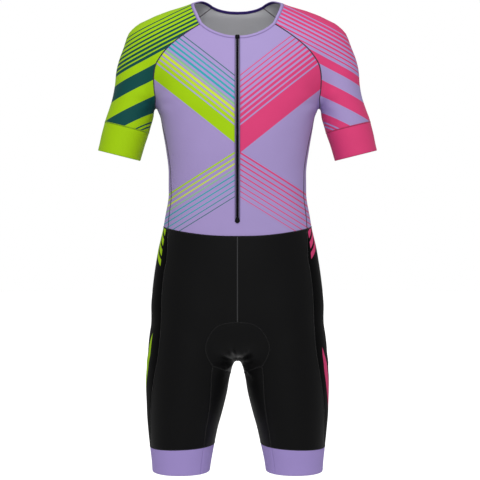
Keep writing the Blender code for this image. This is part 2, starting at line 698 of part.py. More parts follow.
def triangles(grid, keep=None):
    """A grid's cells as triangles, each cell cut along its shorter diagonal."""
    a, b, c, d = grid[:-1, :-1], grid[:-1, 1:], grid[1:, 1:], grid[1:, :-1]
    short = np.linalg.norm(a - c, axis=-1) <= np.linalg.norm(b - d, axis=-1)
    one = np.where(short[..., None, None], np.stack([a, b, c], -2), np.stack([a, b, d], -2))
    two = np.where(short[..., None, None], np.stack([a, c, d], -2), np.stack([b, c, d], -2))
    cells = np.stack([one, two], axis=-3)
    if keep is not None:
        cells = cells[keep]
    return cells.reshape(-1, 3, 3)


def facing_out(points, faces):
    """The same faces, wound so that they face out of the form."""
    corner = points[faces]
    normal = np.cross(corner[:, 1] - corner[:, 0], corner[:, 2] - corner[:, 0])
    flip = (normal * outward(corner.mean(1))).sum() < 0
    return faces[:, ::-1] if flip else faces


def rim(faces):
    """The edges that one face alone uses, in that face's direction."""
    edges = np.concatenate([faces[:, [0, 1]], faces[:, [1, 2]], faces[:, [2, 0]]])
    seen = {(int(a), int(b)) for a, b in edges}
    return np.array([(a, b) for a, b in seen if (b, a) not in seen])


def wall(points, faces, depth, lift=0.0, back=SEAM_GAP):
    """A closed solid: the sheet drawn back from its rim, and the same points moved inward by depth."""
    normal = outward(points)
    edges = rim(faces)
    pulls = {}
    for a, b in edges:
        along = points[b] - points[a]
        for v in (a, b):
            inward = np.cross(normal[v], along)
            pulls.setdefault(int(v), []).append(inward / np.linalg.norm(inward))
    outer = points.copy()
    for v, found in pulls.items():
        p, q = found[0], found[-1]
        outer[v] += back * (p + q) / max(1 + float(p @ q), MITRE_LEAST)
    depth = np.broadcast_to(depth, len(points))[:, None]
    outer = outer + lift * normal
    inner = outer - depth * normal
    count = len(points)
    sides = []
    for a, b in edges:  # the same diagonal from either panel, so that the two walls stay parallel
        if tuple(np.round(points[a], 6)) < tuple(np.round(points[b], 6)):
            sides += [(b, a, a + count), (b, a + count, b + count)]
        else:
            sides += [(b, a, b + count), (a, a + count, b + count)]
    return np.vstack([outer, inner]), np.vstack([faces, faces[:, ::-1] + count, np.array(sides)])


def pad_depth(points):
    """The gusset's wall: cloth at its rim, the pad's full depth in its middle."""
    across = np.clip(1 - np.abs(points[:, 0]) / PAD_HALF, 0, 1)
    down = np.clip((PAD_FRONT_Z - points[:, 2]) / PAD_FRONT_FADE, 0, 1)
    side = np.clip((points[:, 2] - PAD_LOW_Z) / PAD_LOW_FADE, 0, 1)
    swell = np.minimum(np.minimum(np.sqrt(across), down), side)
    return WALL + (PAD_WALL - WALL) * swell * swell * (3 - 2 * swell)


# ---------------------------------------------------------------- objects

GROUP = bpy.data.collections.new("triathlon_suit")
CUTTERS = bpy.data.collections.new("cutters")


def clear_scene():
    for obj in list(bpy.data.objects):
        bpy.data.objects.remove(obj, do_unlink=True)
    for kind in (bpy.data.meshes, bpy.data.materials, bpy.data.lights, bpy.data.cameras):
        for item in list(kind):
            kind.remove(item)
    bpy.context.scene.collection.children.link(GROUP)
    bpy.context.scene.collection.children.link(CUTTERS)
    CUTTERS.hide_render = True


def surface(name, colour, roughness, metallic=0.0):
    material = bpy.data.materials.new(name)
    material.use_nodes = True
    shader = material.node_tree.nodes["Principled BSDF"]
    shader.inputs["Base Color"].default_value = (*colour, 1.0)
    shader.inputs["Roughness"].default_value = roughness
    shader.inputs["Metallic"].default_value = metallic
    material.diffuse_color = (*colour, 1.0)
    return material


def put(name, points, faces, material):
    mesh = bpy.data.meshes.new(name)
    mesh.from_pydata(points.tolist(), [], faces.tolist())
    mesh.materials.append(material)
    mesh.update()
    GROUP.objects.link(bpy.data.objects.new(name, mesh))


def cloth(name, grid, depth, material, keep=None):
    """A panel's grid as a solid wall; keep marks the cells that are there, where some aren't."""
    points, faces = welded(triangles(grid, keep))
    if callable(depth):
        depth = depth(points)
    put(name, *wall(points, facing_out(points, faces), depth), material)


# ---------------------------------------------------------------- zip hardware

SLIDER_Z = -0.0748
SLIDER_HALF, SLIDER_LONG = 0.0042, 0.0090
SLIDER_LOW, SLIDER_TOP = 0.0003, 0.0023  # heights above the cloth
# one side of the slider's plate, as shares of its half width and half length
SLIDER_SIDE = [(-0.70, 1.0), (-1.0, 0.5), (-1.0, -0.2), (-0.72, -0.8), (-0.50, -1.0)]
BAR_HEIGHT, BAR_HALF = 0.0034, 0.0006  # the pull's bar, which turns inside the slider's bail
BAIL_IN, BAIL_OUT, BAIL_HALF, BAIL_CLEAR = 0.0013, 0.0024, 0.0010, 0.0011
BAIL_SINK = 0.0004  # how far the bail's feet go into the plate
BAIL_EASE, BAIL_CROWN = 0.0002, 0.0012  # where the bail's outer arc starts, and how high it goes
PULL_LONG, PULL_HALF, PULL_EYE, PULL_EYE_HALF = 0.0200, 0.0023, 0.0036, 0.0016
PULL_CORNER = 0.0004
# one side of the pull below its bar: width as a share of the half width, and height
PULL_SIDE = [
    (-1.0, BAR_HALF), (-1.0, -0.0052), (-0.70, -0.0075), (-0.62, 0.0016 - PULL_LONG), (-0.40, -PULL_LONG),
]
STOP_Z, STOP_HALF, STOP_LONG, STOP_THICK, STOP_SIDES = -0.4090, 0.0053, 0.0120, 0.0015, 16
STOP_WIDEN = 0.20  # how much the drop widens toward its foot


def slider_frame():
    """The slider's middle on the cloth, with the directions down the zip and out of the chest."""
    spot = facing(0.0, SLIDER_Z)
    ahead = outward(spot, 0.004)
    ahead[0] = 0.0
    ahead /= np.linalg.norm(ahead)
    down = np.array([0.0, ahead[2], -ahead[1]])
    return spot, down if down[2] < 0 else -down, ahead


def plate(name, outlines, thick, frame, material, group, upright=False):
    """Flat outlines, holes among them, as a plate on the slider's frame; upright ones stand along the zip."""
    curve = bpy.data.curves.new(name, "CURVE")
    curve.dimensions = "2D"
    curve.fill_mode = "BOTH"
    curve.extrude = thick / 2
    for points in outlines:
        spline = curve.splines.new("POLY")
        spline.points.add(len(points) - 1)
        for spot, (a, b) in zip(spline.points, points):
            spot.co = (a, b, 0.0, 1.0)
        spline.use_cyclic_u = True
    guide = bpy.data.objects.new(name, curve)
    bpy.context.scene.collection.objects.link(guide)
    graph = bpy.context.evaluated_depsgraph_get()
    mesh = bpy.data.meshes.new_from_object(guide.evaluated_get(graph))
    bpy.data.objects.remove(guide, do_unlink=True)
    made = bmesh.new()
    made.from_mesh(mesh)
    bmesh.ops.remove_doubles(made, verts=made.verts, dist=1e-6)
    bmesh.ops.recalc_face_normals(made, faces=made.faces)
    made.to_mesh(mesh)
    made.free()
    mesh.materials.append(material)
    obj = bpy.data.objects.new(name, mesh)
    spot, down, ahead = (Vector(v) for v in frame)
    across = Vector((1.0, 0.0, 0.0))
    axes = (down, ahead, down.cross(ahead)) if upright else (across, -down, across.cross(-down))
    turn = Matrix(axes).transposed().to_4x4()
    obj.matrix_world = Matrix.Translation(spot) @ turn
    group.objects.link(obj)
    return obj


def two_sided(side, half_width, half_length=1.0):
    """A closed outline from one side's points and their mirror image."""
    points = [(x * half_width, y * half_length) for x, y in side]
    return points + [(-x, y) for x, y in reversed(points)]


def rounded(half_width, top, bottom, corner, steps=3):
    """A rectangle from bottom to top with round corners, as a list of points."""
    points = []
    for cx, cy, start in (
        (half_width - corner, top - corner, 0),
        (corner - half_width, top - corner, 90),
        (corner - half_width, bottom + corner, 180),
        (half_width - corner, bottom + corner, 270),
    ):
        for k in range(steps + 1):
            turn = math.radians(start + 90 * k / steps)
            points.append((cx + corner * math.cos(turn), cy + corner * math.sin(turn)))
    return points


def zip_slider(metal):
    """The slider's plate, with the bail that the pull hangs in joined to it."""
    spot, down, ahead = slider_frame()
    raised = (spot + (SLIDER_LOW + SLIDER_TOP) / 2 * ahead, down, ahead)
    outline = two_sided(SLIDER_SIDE, SLIDER_HALF, SLIDER_LONG / 2)
    body = plate("zip_slider", [outline], SLIDER_TOP - SLIDER_LOW, raised, metal, GROUP)
    foot, crown = SLIDER_TOP - BAIL_SINK, BAR_HEIGHT + BAIL_CLEAR
    turns = [math.radians(t) for t in range(0, 181, 30)]
    outer = [(BAIL_OUT * math.cos(t), crown - BAIL_EASE + BAIL_CROWN * math.sin(t)) for t in turns]
    right = [(BAIL_IN, crown), (BAIL_IN, foot), (BAIL_OUT, foot)]
    arch = [*right, *outer, *((-x, y) for x, y in reversed(right))]
    bail = plate("slider_bail", [arch], 2 * BAIL_HALF, (spot, down, ahead), metal, CUTTERS, upright=True)
    union = body.modifiers.new("bail", "BOOLEAN")
    union.operation, union.solver, union.object = "UNION", "EXACT", bail


def zip_pull(metal):
    """The pull: a tapered tab whose eye goes round the bail. It turns about the bar above its eye."""
    spot, down, ahead = slider_frame()
    eye = rounded(PULL_EYE_HALF, -BAR_HALF, -PULL_EYE, PULL_CORNER)
    frame = (spot + BAR_HEIGHT * ahead, down, ahead)
    plate("zip_pull", [two_sided(PULL_SIDE, PULL_HALF), eye], 2 * BAR_HALF, frame, metal, GROUP)


def zip_bottom_stop(metal):
    """The drop-shaped tab that closes the zip's lower end: points of the cloth, moved out."""
    turn = np.linspace(0, 2 * math.pi, STOP_SIDES + 1)[:-1]
    t = -np.cos(turn)
    width = STOP_HALF * np.sin(turn) * (1 - STOP_WIDEN + STOP_WIDEN * t)
    x = np.concatenate([[0.0], 0.5 * width, width])
    z = STOP_Z - np.concatenate([[0.0], 0.25 * STOP_LONG * t, 0.5 * STOP_LONG * t])
    faces = []
    for i in range(STOP_SIDES):
        a, b = 1 + i, 1 + (i + 1) % STOP_SIDES
        faces += [(0, a, b), (a, a + STOP_SIDES, b + STOP_SIDES), (a, b + STOP_SIDES, b)]
    points = facing(x, z)
    faces = facing_out(points, np.array(faces))
    put("zip_bottom_stop", *wall(points, faces, STOP_THICK, STOP_THICK + SLIDER_LOW, 0.0), metal)


def main():
    clear_scene()
    lavender = surface("lavender_knit", (0.392, 0.301, 0.591), 0.75)
    lime = surface("lime_knit", (0.376, 0.617, 0.010), 0.75)
    pink = surface("pink_knit", (0.665, 0.060, 0.171), 0.75)
    black = surface("black_knit", (0.012, 0.012, 0.013), 0.65)
    pad = surface("pad_cover", (0.016, 0.016, 0.017), 0.60)
    tape = surface("zip_tape", (0.012, 0.012, 0.014), 0.60)
    dark = surface("dark_metal", (0.030, 0.030, 0.034), 0.40, 0.6)
    panels = make_panels()

    front = both_halves(panels["front"])
    keep = np.ones((front.shape[0] - 1, front.shape[1] - 1), bool)
    keep[SLOT:, FRONT - SLOT : FRONT + SLOT] = False
    cloth("front", front, WALL, lavender, keep)
    cloth("back", both_halves(panels["back"][:, ::-1]), WALL, lavender)
    binding = panels["binding"]
    round_the_back = np.concatenate([binding, mirrored(binding[:, ::-1])[:, 1:]], axis=1)
    cloth("neck_binding", round_the_back, BINDING_WALL, lavender)
    cloth("zip_tape", both_halves(panels["zip"]), WALL, tape)
    cloth("crotch_gusset", both_halves(panels["gusset"]), pad_depth, pad)
    for side, knit in (("left", pink), ("right", lime)):
        for name, depth, material in (
            ("sleeve", WALL, knit),
            ("cuff", BAND_WALL, knit),
            ("shorts_front", WALL, black),
            ("shorts_side", WALL, black),
            ("shorts_back", WALL, black),
            ("inner_leg", WALL, black),
            ("leg_band", BAND_WALL, lavender),
        ):
            grid = panels[name] if side == "left" else mirrored(panels[name])
            cloth(f"{name}_{side}", grid, depth, material)
    zip_slider(dark)
    zip_pull(dark)
    zip_bottom_stop(dark)


main()
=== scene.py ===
"""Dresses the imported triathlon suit: fine knit panels, flatlock seams, zip coil, print, light and camera.

Metres, +Z up, the front faces -Y and the wearer's left is +X. The panels repeat the smooth form
and the seam lines of the part's source, with FINE times as many cells between the seams.
"""

import math

import bmesh
import bpy
import numpy as np
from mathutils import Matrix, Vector


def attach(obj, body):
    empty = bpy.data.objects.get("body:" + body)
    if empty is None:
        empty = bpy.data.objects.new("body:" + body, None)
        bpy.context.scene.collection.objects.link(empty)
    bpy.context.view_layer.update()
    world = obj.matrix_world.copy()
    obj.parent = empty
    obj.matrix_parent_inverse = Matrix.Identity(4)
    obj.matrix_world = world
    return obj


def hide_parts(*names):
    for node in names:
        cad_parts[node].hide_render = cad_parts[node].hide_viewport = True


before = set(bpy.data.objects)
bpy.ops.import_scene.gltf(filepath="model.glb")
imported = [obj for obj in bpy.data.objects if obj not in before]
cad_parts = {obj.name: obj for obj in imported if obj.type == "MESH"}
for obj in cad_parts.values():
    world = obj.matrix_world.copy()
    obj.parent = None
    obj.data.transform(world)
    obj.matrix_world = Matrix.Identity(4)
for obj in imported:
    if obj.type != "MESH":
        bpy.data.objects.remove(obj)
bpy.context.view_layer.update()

# ---------------------------------------------------------------- driving sizes, metres
WALL = 0.0014  # cloth
BAND_WALL = 0.0018  # cuffs and leg bands
BINDING_WALL = 0.0024
PAD_WALL = 0.0050  # the middle of the crotch pad
SEAM_GAP = 0.00012  # each panel stops this far short of its seam line
BINDING_WIDTH = 0.0052
SLOT_HALF = 0.0031  # half of the front's zip slot
ZIP_HALF = 0.0027
SLOT_BOTTOM_Z = -0.4084
NECK_FRONT_Z = -0.0760
WAIST_FRONT_Z, WAIST_SIDE_Z, WAIST_BACK_Z = -0.4395, -0.4240, -0.4200
WAIST_SEAM, WAIST_BACK_SEAM = math.radians(68.6), math.radians(116)
CUFF_TILT = 0.25  # how much higher the cuff's lines stand on the outer side, for each metre across
CUFF_SEAM_Z, CUFF_HEM_Z = -0.2360, -0.2895  # at the arm's middle
LEG_HEM_Z, LEG_BAND_Z = -0.8885, -0.8378
LEG_BAND_LEAN = -0.0033  # how far the leg band's seam stands off its height on the outer side
LEG_BAND_STOPS = [math.radians(a) for a in (-38.0, 66.0, 116.0, 222.0, 322.0)]
PIT_FAN_X = 0.1985  # the arm's middle beside the armpit
GUSSET_AXIS_X = 0.092
GUSSET_DIP = 0.020  # how far the gusset's lower edge dips along the inner thigh
NECK_MIDDLE = np.array([0.0, 0.0, 0.03])  # a point that the neck binding rises toward
TAPE_SHORT = 0.0004  # the zip's tape ends this far above the slot's bottom
SWEEP_LEVEL = -0.2080, -0.2000  # where the rows of the front and of the back reach the armpit's level

# cells between seams
FINE = 4
SLOT, EDGE = FINE, FINE
FRONT, SIDE, BACK, INNER = 7 * FINE, 4 * FINE, 6 * FINE, 4 * FINE
RISE, RAGLAN, OVER, TUBE, CUFF = 8 * FINE, 9 * FINE, 14 * FINE, 3 * FINE, 2 * FINE
CENTRE, ARC, FLANK, THIGH, BAND = 5 * FINE, 3 * FINE, 2 * FINE, 6 * FINE, 2 * FINE
LONGEST_CELL = 0.064 / FINE


def table(columns, rows):
    """Rows of numbers under named columns, sorted by the first column."""
    rows = np.array(sorted(rows), float)
    return {name: rows[:, i] for i, name in enumerate(columns.split())}


# Trunk: neck, shoulders, chest, waist, hips, down to the fork.
TRUNK = table("z half_width front back power", [
    (0.060, 0.056, 0.060, 0.040, 2.0),
    (0.020, 0.060, 0.059, 0.044, 2.0),
    (0.004, 0.071, 0.058, 0.048, 2.0),
    (-0.0067, 0.095, 0.059, 0.052, 2.1),
    (-0.018, 0.132, 0.062, 0.057, 2.1),
    (-0.0295, 0.162, 0.067, 0.066, 2.2),
    (-0.041, 0.180, 0.072, 0.075, 2.2),
    (-0.060, 0.188, 0.082, 0.088, 2.2),
    (-0.100, 0.180, 0.100, 0.104, 2.3),
    (-0.150, 0.165, 0.113, 0.114, 2.4),
    (-0.1975, 0.1535, 0.118, 0.116, 2.4),
    (-0.2233, 0.1454, 0.117, 0.114, 2.4),
    (-0.280, 0.135, 0.112, 0.106, 2.4),
    (-0.326, 0.130, 0.107, 0.099, 2.4),
    (-0.360, 0.130, 0.104, 0.096, 2.4),
    (-0.4057, 0.1378, 0.104, 0.098, 2.4),
    (-0.4285, 0.1416, 0.104, 0.102, 2.4),
    (-0.474, 0.151, 0.106, 0.112, 2.4),
    (-0.520, 0.156, 0.107, 0.121, 2.4),
    (-0.565, 0.158, 0.106, 0.123, 2.4),
    (-0.600, 0.150, 0.103, 0.118, 2.3),
    (-0.630, 0.125, 0.096, 0.106, 2.2),
    (-0.655, 0.085, 0.080, 0.084, 2.1),
    (-0.663, 0.050, 0.060, 0.062, 2.0),
    (-0.668, 0.024, 0.034, 0.034, 2.0),
    (-0.672, 0.003, 0.004, 0.004, 2.0),
])
TRUNK_END = -0.672
ARM = table("z centre_x half_width front back blend", [
    (-0.020, 0.120, 0.010, 0.010, 0.010, 0.016),
    (-0.0320, 0.128, 0.024, 0.022, 0.022, 0.018),
    (-0.0430, 0.137, 0.044, 0.040, 0.040, 0.030),
    (-0.0637, 0.150, 0.054, 0.051, 0.052, 0.040),
    (-0.0865, 0.163, 0.052, 0.056, 0.058, 0.040),
    (-0.109, 0.174, 0.050, 0.058, 0.060, 0.036),
    (-0.132, 0.181, 0.0485, 0.058, 0.060, 0.030),
    (-0.155, 0.185, 0.0465, 0.057, 0.059, 0.022),
    (-0.1777, 0.1905, 0.0450, 0.056, 0.057, 0.014),
    (-0.2005, 0.1995, 0.0430, 0.054, 0.055, 0.008),
    (-0.2233, 0.2062, 0.0445, 0.053, 0.054, 0.006),
    (-0.246, 0.2125, 0.0445, 0.052, 0.053, 0.006),
    (-0.2689, 0.2190, 0.0430, 0.051, 0.052, 0.006),
    (-0.310, 0.2300, 0.0420, 0.050, 0.051, 0.006),
])
ARM_TOP = -0.020
LEG = table("z centre_x half_width front back", [
    (-0.440, 0.060, 0.055, 0.070, 0.075),
    (-0.520, 0.078, 0.070, 0.088, 0.100),
    (-0.565, 0.083, 0.074, 0.095, 0.111),
    (-0.600, 0.0865, 0.0765, 0.098, 0.113),
    (-0.630, 0.0890, 0.0790, 0.099, 0.110),
    (-0.656, 0.0872, 0.0825, 0.098, 0.106),
    (-0.679, 0.0889, 0.0825, 0.096, 0.102),
    (-0.6907, 0.0905, 0.0809, 0.0945, 0.100),
    (-0.7135, 0.0939, 0.0787, 0.0920, 0.097),
    (-0.736, 0.0960, 0.0768, 0.0890, 0.093),
    (-0.759, 0.0984, 0.0740, 0.0860, 0.089),
    (-0.782, 0.1010, 0.0708, 0.0820, 0.084),
    (-0.805, 0.1036, 0.0668, 0.0775, 0.079),
    (-0.828, 0.1054, 0.0633, 0.0735, 0.074),
    (-0.851, 0.1067, 0.0596, 0.0700, 0.070),
    (-0.874, 0.1073, 0.0561, 0.0665, 0.066),
    (-0.910, 0.1079, 0.0526, 0.0635, 0.063),
])
LEG_TOP = -0.440
LEG_POWER, ARM_POWER = 2.15, 2.1
LEG_BLEND, FORK_BLEND = 0.024, 0.012

# Seam lines as points (x, z) of the front, or of the back where the name says so.
FRONT_RAGLAN = [
    (0.1535, -0.1850), (0.1548, -0.1700), (0.1555, -0.1500), (0.1525, -0.1276),
    (0.1385, -0.1034), (0.1104, -0.0761), (0.0695, -0.0484),
]
BACK_RAGLAN = [
    (0.1535, -0.1850), (0.1555, -0.1700), (0.1570, -0.1480), (0.1530, -0.1210),
    (0.1385, -0.0900), (0.1130, -0.0580), (0.0850, -0.0290), (0.0510, -0.0052),
]
FRONT_NECK = [
    (0.0, NECK_FRONT_Z), (0.012, -0.0755), (0.028, -0.0722), (0.044, -0.0662),
    (0.058, -0.0582), (0.0695, -0.0484),
]
BACK_NECK = [(0.0, -0.0153), (0.015, -0.0147), (0.027, -0.0130), (0.039, -0.0101), (0.0510, -0.0052)]
# The gusset's outline on the shorts, and the inner leg's seams below it.
FRONT_ARC = [
    (0.0, -0.5970), (0.0180, -0.5985), (0.0339, -0.6036), (0.0450, -0.6120), (0.0523, -0.6240),
]
FRONT_FLANK = [
    (0.0523, -0.6240), (0.0575, -0.6360), (0.0588, -0.6480), (0.0545, -0.6640), (0.0455, -0.6800),
]
FRONT_THIGH = [(0.0455, -0.6800), (0.0480, -0.7000), (0.0490, -0.7237), (0.0525, -0.7650), (0.0600, -0.8080)]
BACK_ARC = [
    (0.0, -0.5900), (0.0200, -0.5915), (0.0380, -0.5975), (0.0500, -0.6070), (0.0570, -0.6200),
]
BACK_FLANK = [(0.0570, -0.6200), (0.0600, -0.6380), (0.0570, -0.6620), (0.0470, -0.6840)]
BACK_THIGH = [(0.0470, -0.6840), (0.0490, -0.7200), (0.0540, -0.7650), (0.0600, -0.8080)]
# The gusset's middle line from front to back, as (y, z) beside the form; the fork comes between them.
GUSSET_SPINE = [
    (-0.100, -0.597), (-0.094, -0.620), (-0.080, -0.645), (-0.045, -0.668), None,
    (0.045, -0.668), (0.080, -0.645), (0.100, -0.615), (0.110, -0.590),
]
# The bodice's side seam, from the waist up, as angles from the front.
SIDE_SEAM = table("z angle", [
    (-0.4300, 68.6), (-0.3900, 70.5), (-0.3400, 71.5), (-0.3000, 72.5), (-0.2600, 74.5),
    (-0.2300, 79.0), (-0.2100, 84.0),
])
# The shorts' outer seam in front: how far out it lies at each height.
OUTER_SEAM = table("z x", [
    (-0.4300, 0.1303), (-0.4550, 0.1295), (-0.4800, 0.1305), (-0.5100, 0.1360), (-0.5500, 0.1395),
    (-0.5860, 0.1410), (-0.6560, 0.1461), (-0.7100, 0.1556), (-0.7440, 0.1605), (-0.7900, 0.1640),
    (-0.8400, 0.1660),
])
OUTER_BACK_ANGLES = [0, 0.3, 0.6, 1.0], (116.0, 114.0, 114.0, 116.0)
# The upright axis that each row of the shorts turns about.
SHORTS_AXIS = (
    [-0.85, -0.80, -0.74, -0.679, -0.62, -0.56, -0.50, -0.43],
    [0.1060, 0.1032, 0.0962, 0.0906, 0.0845, 0.0620, 0.0300, 0.0],
)
# The sleeve's rows turn about the armpit: from armpit (0) to neck (1).
FAN = table("s centre_x centre_z lean bulge", [
    (0.00, PIT_FAN_X, -0.1900, 76, 0.0),
    (0.20, 0.1860, -0.1700, 69, 0.0),
    (0.45, 0.1620, -0.1350, 54, 0.0),
    (0.75, 0.1180, -0.0900, 26, 0.05),
    (1.00, 0.0800, -0.0560, 0, 0.38),
])


# ---------------------------------------------------------------- the worn form


def through(xs, ys, x):
    """The smooth curve through the points (xs, ys), with no overshoot, at x."""
    xs, ys = np.asarray(xs, float), np.asarray(ys, float)
    step = np.diff(ys) / np.diff(xs)
    slope = np.zeros_like(ys)
    both = step[:-1] * step[1:]
    total = step[:-1] + step[1:]
    slope[1:-1] = np.where(both > 0, 2 * both / np.where(total == 0, 1, total), 0)
    slope[0], slope[-1] = step[0], step[-1]
    x = np.clip(x, xs[0], xs[-1])
    i = np.clip(np.searchsorted(xs, x) - 1, 0, len(xs) - 2)
    gap = xs[i + 1] - xs[i]
    t = (x - xs[i]) / gap
    return (
        (1 + 2 * t) * (1 - t) ** 2 * ys[i]
        + t * (1 - t) ** 2 * gap * slope[i]
        + t * t * (3 - 2 * t) * ys[i + 1]
        - t * t * (1 - t) * gap * slope[i + 1]
    )


def column(rows, name, z):
    return through(rows["z"], rows[name], z)


def sizes(rows, z):
    return [column(rows, name, z) for name in ("half_width", "front", "back")]


def oval(x, y, half_width, front, back, power):
    """How far a point lies outside an oval section, measured along the line from its centre."""
    deep = np.where(y < 0, front, back)
    reach = np.maximum(np.abs(x / half_width) ** power + np.abs(y / deep) ** power, 1e-12) ** (1 / power)
    return np.hypot(x, y) * (1 - 1 / reach)


def join(a, b, radius):
    """The smaller of two distances, rounded where they cross."""
    h = np.clip(0.5 + 0.5 * (b - a) / radius, 0, 1)
    return b + (a - b) * h - radius * h * (1 - h)


def form(p):
    """Below zero inside the worn suit, zero on the cloth's outer face."""
    x, y, z = p[..., 0], p[..., 1], p[..., 2]
    trunk = oval(x, y, *sizes(TRUNK, z), column(TRUNK, "power", z)) + np.maximum(0, TRUNK_END - z)
    arm = oval(np.abs(x) - column(ARM, "centre_x", z), y, *sizes(ARM, z), ARM_POWER)
    arm = arm + 2 * np.maximum(0, z - ARM_TOP)
    centre, size = column(LEG, "centre_x", z), sizes(LEG, z)
    legs = join(oval(x - centre, y, *size, LEG_POWER), oval(x + centre, y, *size, LEG_POWER), FORK_BLEND)
    legs = legs + 2 * np.maximum(0, z - LEG_TOP)
    return join(join(trunk, arm, column(ARM, "blend", z)), legs, LEG_BLEND)


def unit(vectors):
    return vectors / np.linalg.norm(vectors, axis=-1, keepdims=True)


def slope_of(p, reach):
    """The form's gradient."""
    ahead_behind = [form(p + reach * axis) - form(p - reach * axis) for axis in np.eye(3)]
    return np.stack(ahead_behind, axis=-1) / (2 * reach)


def outward(p, reach=0.0012):
    """The form's unit normal at points that lie on it."""
    return unit(slope_of(np.asarray(p, float), reach))


def onto(p, rounds=14):
    """Points near the form, moved onto it."""
    p = np.array(p, float)
    for _ in range(rounds):
        slope = slope_of(p, 5e-4)
        size = np.maximum((slope**2).sum(-1), 0.05)
        step = np.clip(form(p) / size, -0.01, 0.01)
        p = p - step[..., None] * slope
    return p


def same_shape(*values):
    return np.broadcast_arrays(*(np.asarray(value, float) for value in values))


def cast(start, along, reach=0.40, tries=100, halvings=24):
    """Where lines that start inside the form leave it."""
    start, along = same_shape(start, along)
    along = unit(along)
    tried = np.linspace(0.004, reach, tries)
    values = form(start[..., None, :] + tried[:, None] * along[..., None, :])
    first = np.argmax(values > 0, axis=-1)
    high = tried[first]
    low = np.where(first > 0, tried[np.maximum(first - 1, 0)], 0.0)
    for _ in range(halvings):
        middle = (low + high) / 2
        out = form(start + middle[..., None] * along) > 0
        high, low = np.where(out, middle, high), np.where(out, low, middle)
    return start + low[..., None] * along


def facing(x, z, side=-1):
    """The point of the form's front (side -1) or back (+1) at this x and z."""
    x, z = same_shape(x, z)
    return cast(np.stack([x, 0 * x, z], axis=-1), (0.0, side, 0.0))


def spin(angle, z, centre_x=0.0, **search):
    """The point at this angle from the front (outward to +X) about an upright axis, at height z."""
    angle, z, centre_x = same_shape(angle, z, centre_x)
    along = np.stack([np.sin(angle), -np.cos(angle), 0 * angle], axis=-1)
    return cast(np.stack([centre_x, 0 * angle, z], axis=-1), along, **search)


ARM_SEARCH = {"reach": 0.13, "tries": 500}  # fine enough for the narrow gap below the armpit


def mended(row):
    """A row whose ends are right, with any point that jumped across the armpit's gap put back in line."""
    good = np.ones(len(row), bool)
    middle = len(row) // 2
    for step, end in ((1, len(row) - 1), (-1, 0)):
        last = middle
        for i in range(middle + step, end, step):
            good[i] = np.linalg.norm(row[i] - row[last]) < LONGEST_CELL * abs(i - last)
            last = i if good[i] else last
    if good.all():
        return row
    spots = np.flatnonzero(good)
    filled = np.stack([np.interp(np.arange(len(row)), spots, values) for values in row[spots].T], axis=-1)
    return np.where(good[:, None], row, onto(filled))


# ---------------------------------------------------------------- lines and grids

LEG_BAND_X = float(column(LEG, "centre_x", LEG_BAND_Z))
GUSSET_END = CENTRE + ARC + FLANK  # the cell of the shorts' inner edge where the gusset ends
PIT_SEARCH_X, PIT_SEARCH_Z = np.linspace(0.135, 0.185, 201), (-0.230, -0.150)
FORK_SEARCH_Z = -0.72, -0.64
UNDER_ARM = -math.pi / 2  # the angle where the sleeve's rings start


def angle_of(p, centre_x, lowest):
    """The angle of a point about an upright axis, in the turn that starts at lowest."""
    angle = np.arctan2(p[..., 0] - centre_x, -p[..., 1])
    return lowest + np.mod(angle - lowest, 2 * math.pi)


def share(points):
    """How far along its own length each point of a line lies, from 0 to 1."""
    run = np.concatenate([[0], np.cumsum(np.linalg.norm(np.diff(points, axis=0), axis=-1))])
    return run / run[-1]


def even(points, cells):
    """A line through these points, cut into cells of equal length."""
    points = np.asarray(points, float)
    steps = np.linspace(0, 1, 241)
    dense = np.stack([through(share(points), values, steps) for values in points.T], axis=-1)
    want = np.linspace(0, 1, cells + 1)
    return np.stack([np.interp(want, share(dense), values) for values in dense.T], axis=-1)


def chain(*lines):
    """Lines that meet end to end, as one."""
    return np.concatenate([lines[0], *(line[1:] for line in lines[1:])])


def mirrored(points):
    return points * np.array([-1.0, 1.0, 1.0])


def seam(points, side=-1):
    """Points given as (x, z) on the front or the back, as a line on the form."""
    points = np.array(points, float)
    return facing(points[:, 0], points[:, 1], side)


def between(first, last, left, right, u, v):
    """A Coons grid between four lines: u runs along the rows, v down the columns."""
    u, v = u[None, :, None], v[:, None, None]
    grid = (1 - v) * first[None] + v * last[None] + (1 - u) * left[:, None] + u * right[:, None]
    corners = (1 - v) * ((1 - u) * first[0] + u * first[-1]) + v * ((1 - u) * last[0] + u * last[-1])
    return grid - corners


def patch(first_row, last_row, left, right, centres, lowest=-math.pi):
    """A grid on the form between four seam lines, its rows swept about an upright axis.

    first_row and last_row run from left to right; left and right hold one point a row.
    """
    centres = np.broadcast_to(centres, len(left))

    def flat(points, centre):
        return np.stack([angle_of(points, centre, lowest), points[..., 2]], axis=-1)

    grid = between(
        flat(first_row, centres[0]),
        flat(last_row, centres[-1]),
        flat(left, centres),
        flat(right, centres),
        np.linspace(0, 1, len(first_row)),
        0.5 * share(left) + 0.5 * share(right),
    )
    points = spin(grid[..., 0], grid[..., 1], centres[:, None])
    points[0], points[-1], points[:, 0], points[:, -1] = first_row, last_row, left, right
    return np.array([mended(row) for row in points])


def top_of_gap(low, high, outside):
    """The height, between low and high, above which a gap in the form is closed."""
    for _ in range(40):
        z = (low + high) / 2
        low, high = (z, high) if outside(z) else (low, z)
    return (low + high) / 2


def armpit_point():
    """The top of the hollow between the arm and the trunk."""
    x = PIT_SEARCH_X

    def ridge(z):
        return form(np.stack([x, 0 * x, z + 0 * x], axis=-1))

    z = top_of_gap(*PIT_SEARCH_Z, lambda z: ridge(z).max() >= 0)
    return np.array([x[np.argmax(ridge(z))], 0.0, z])


def fork_height():
    return top_of_gap(*FORK_SEARCH_Z, lambda z: form(np.array([0.0, 0.0, z])) >= 0)


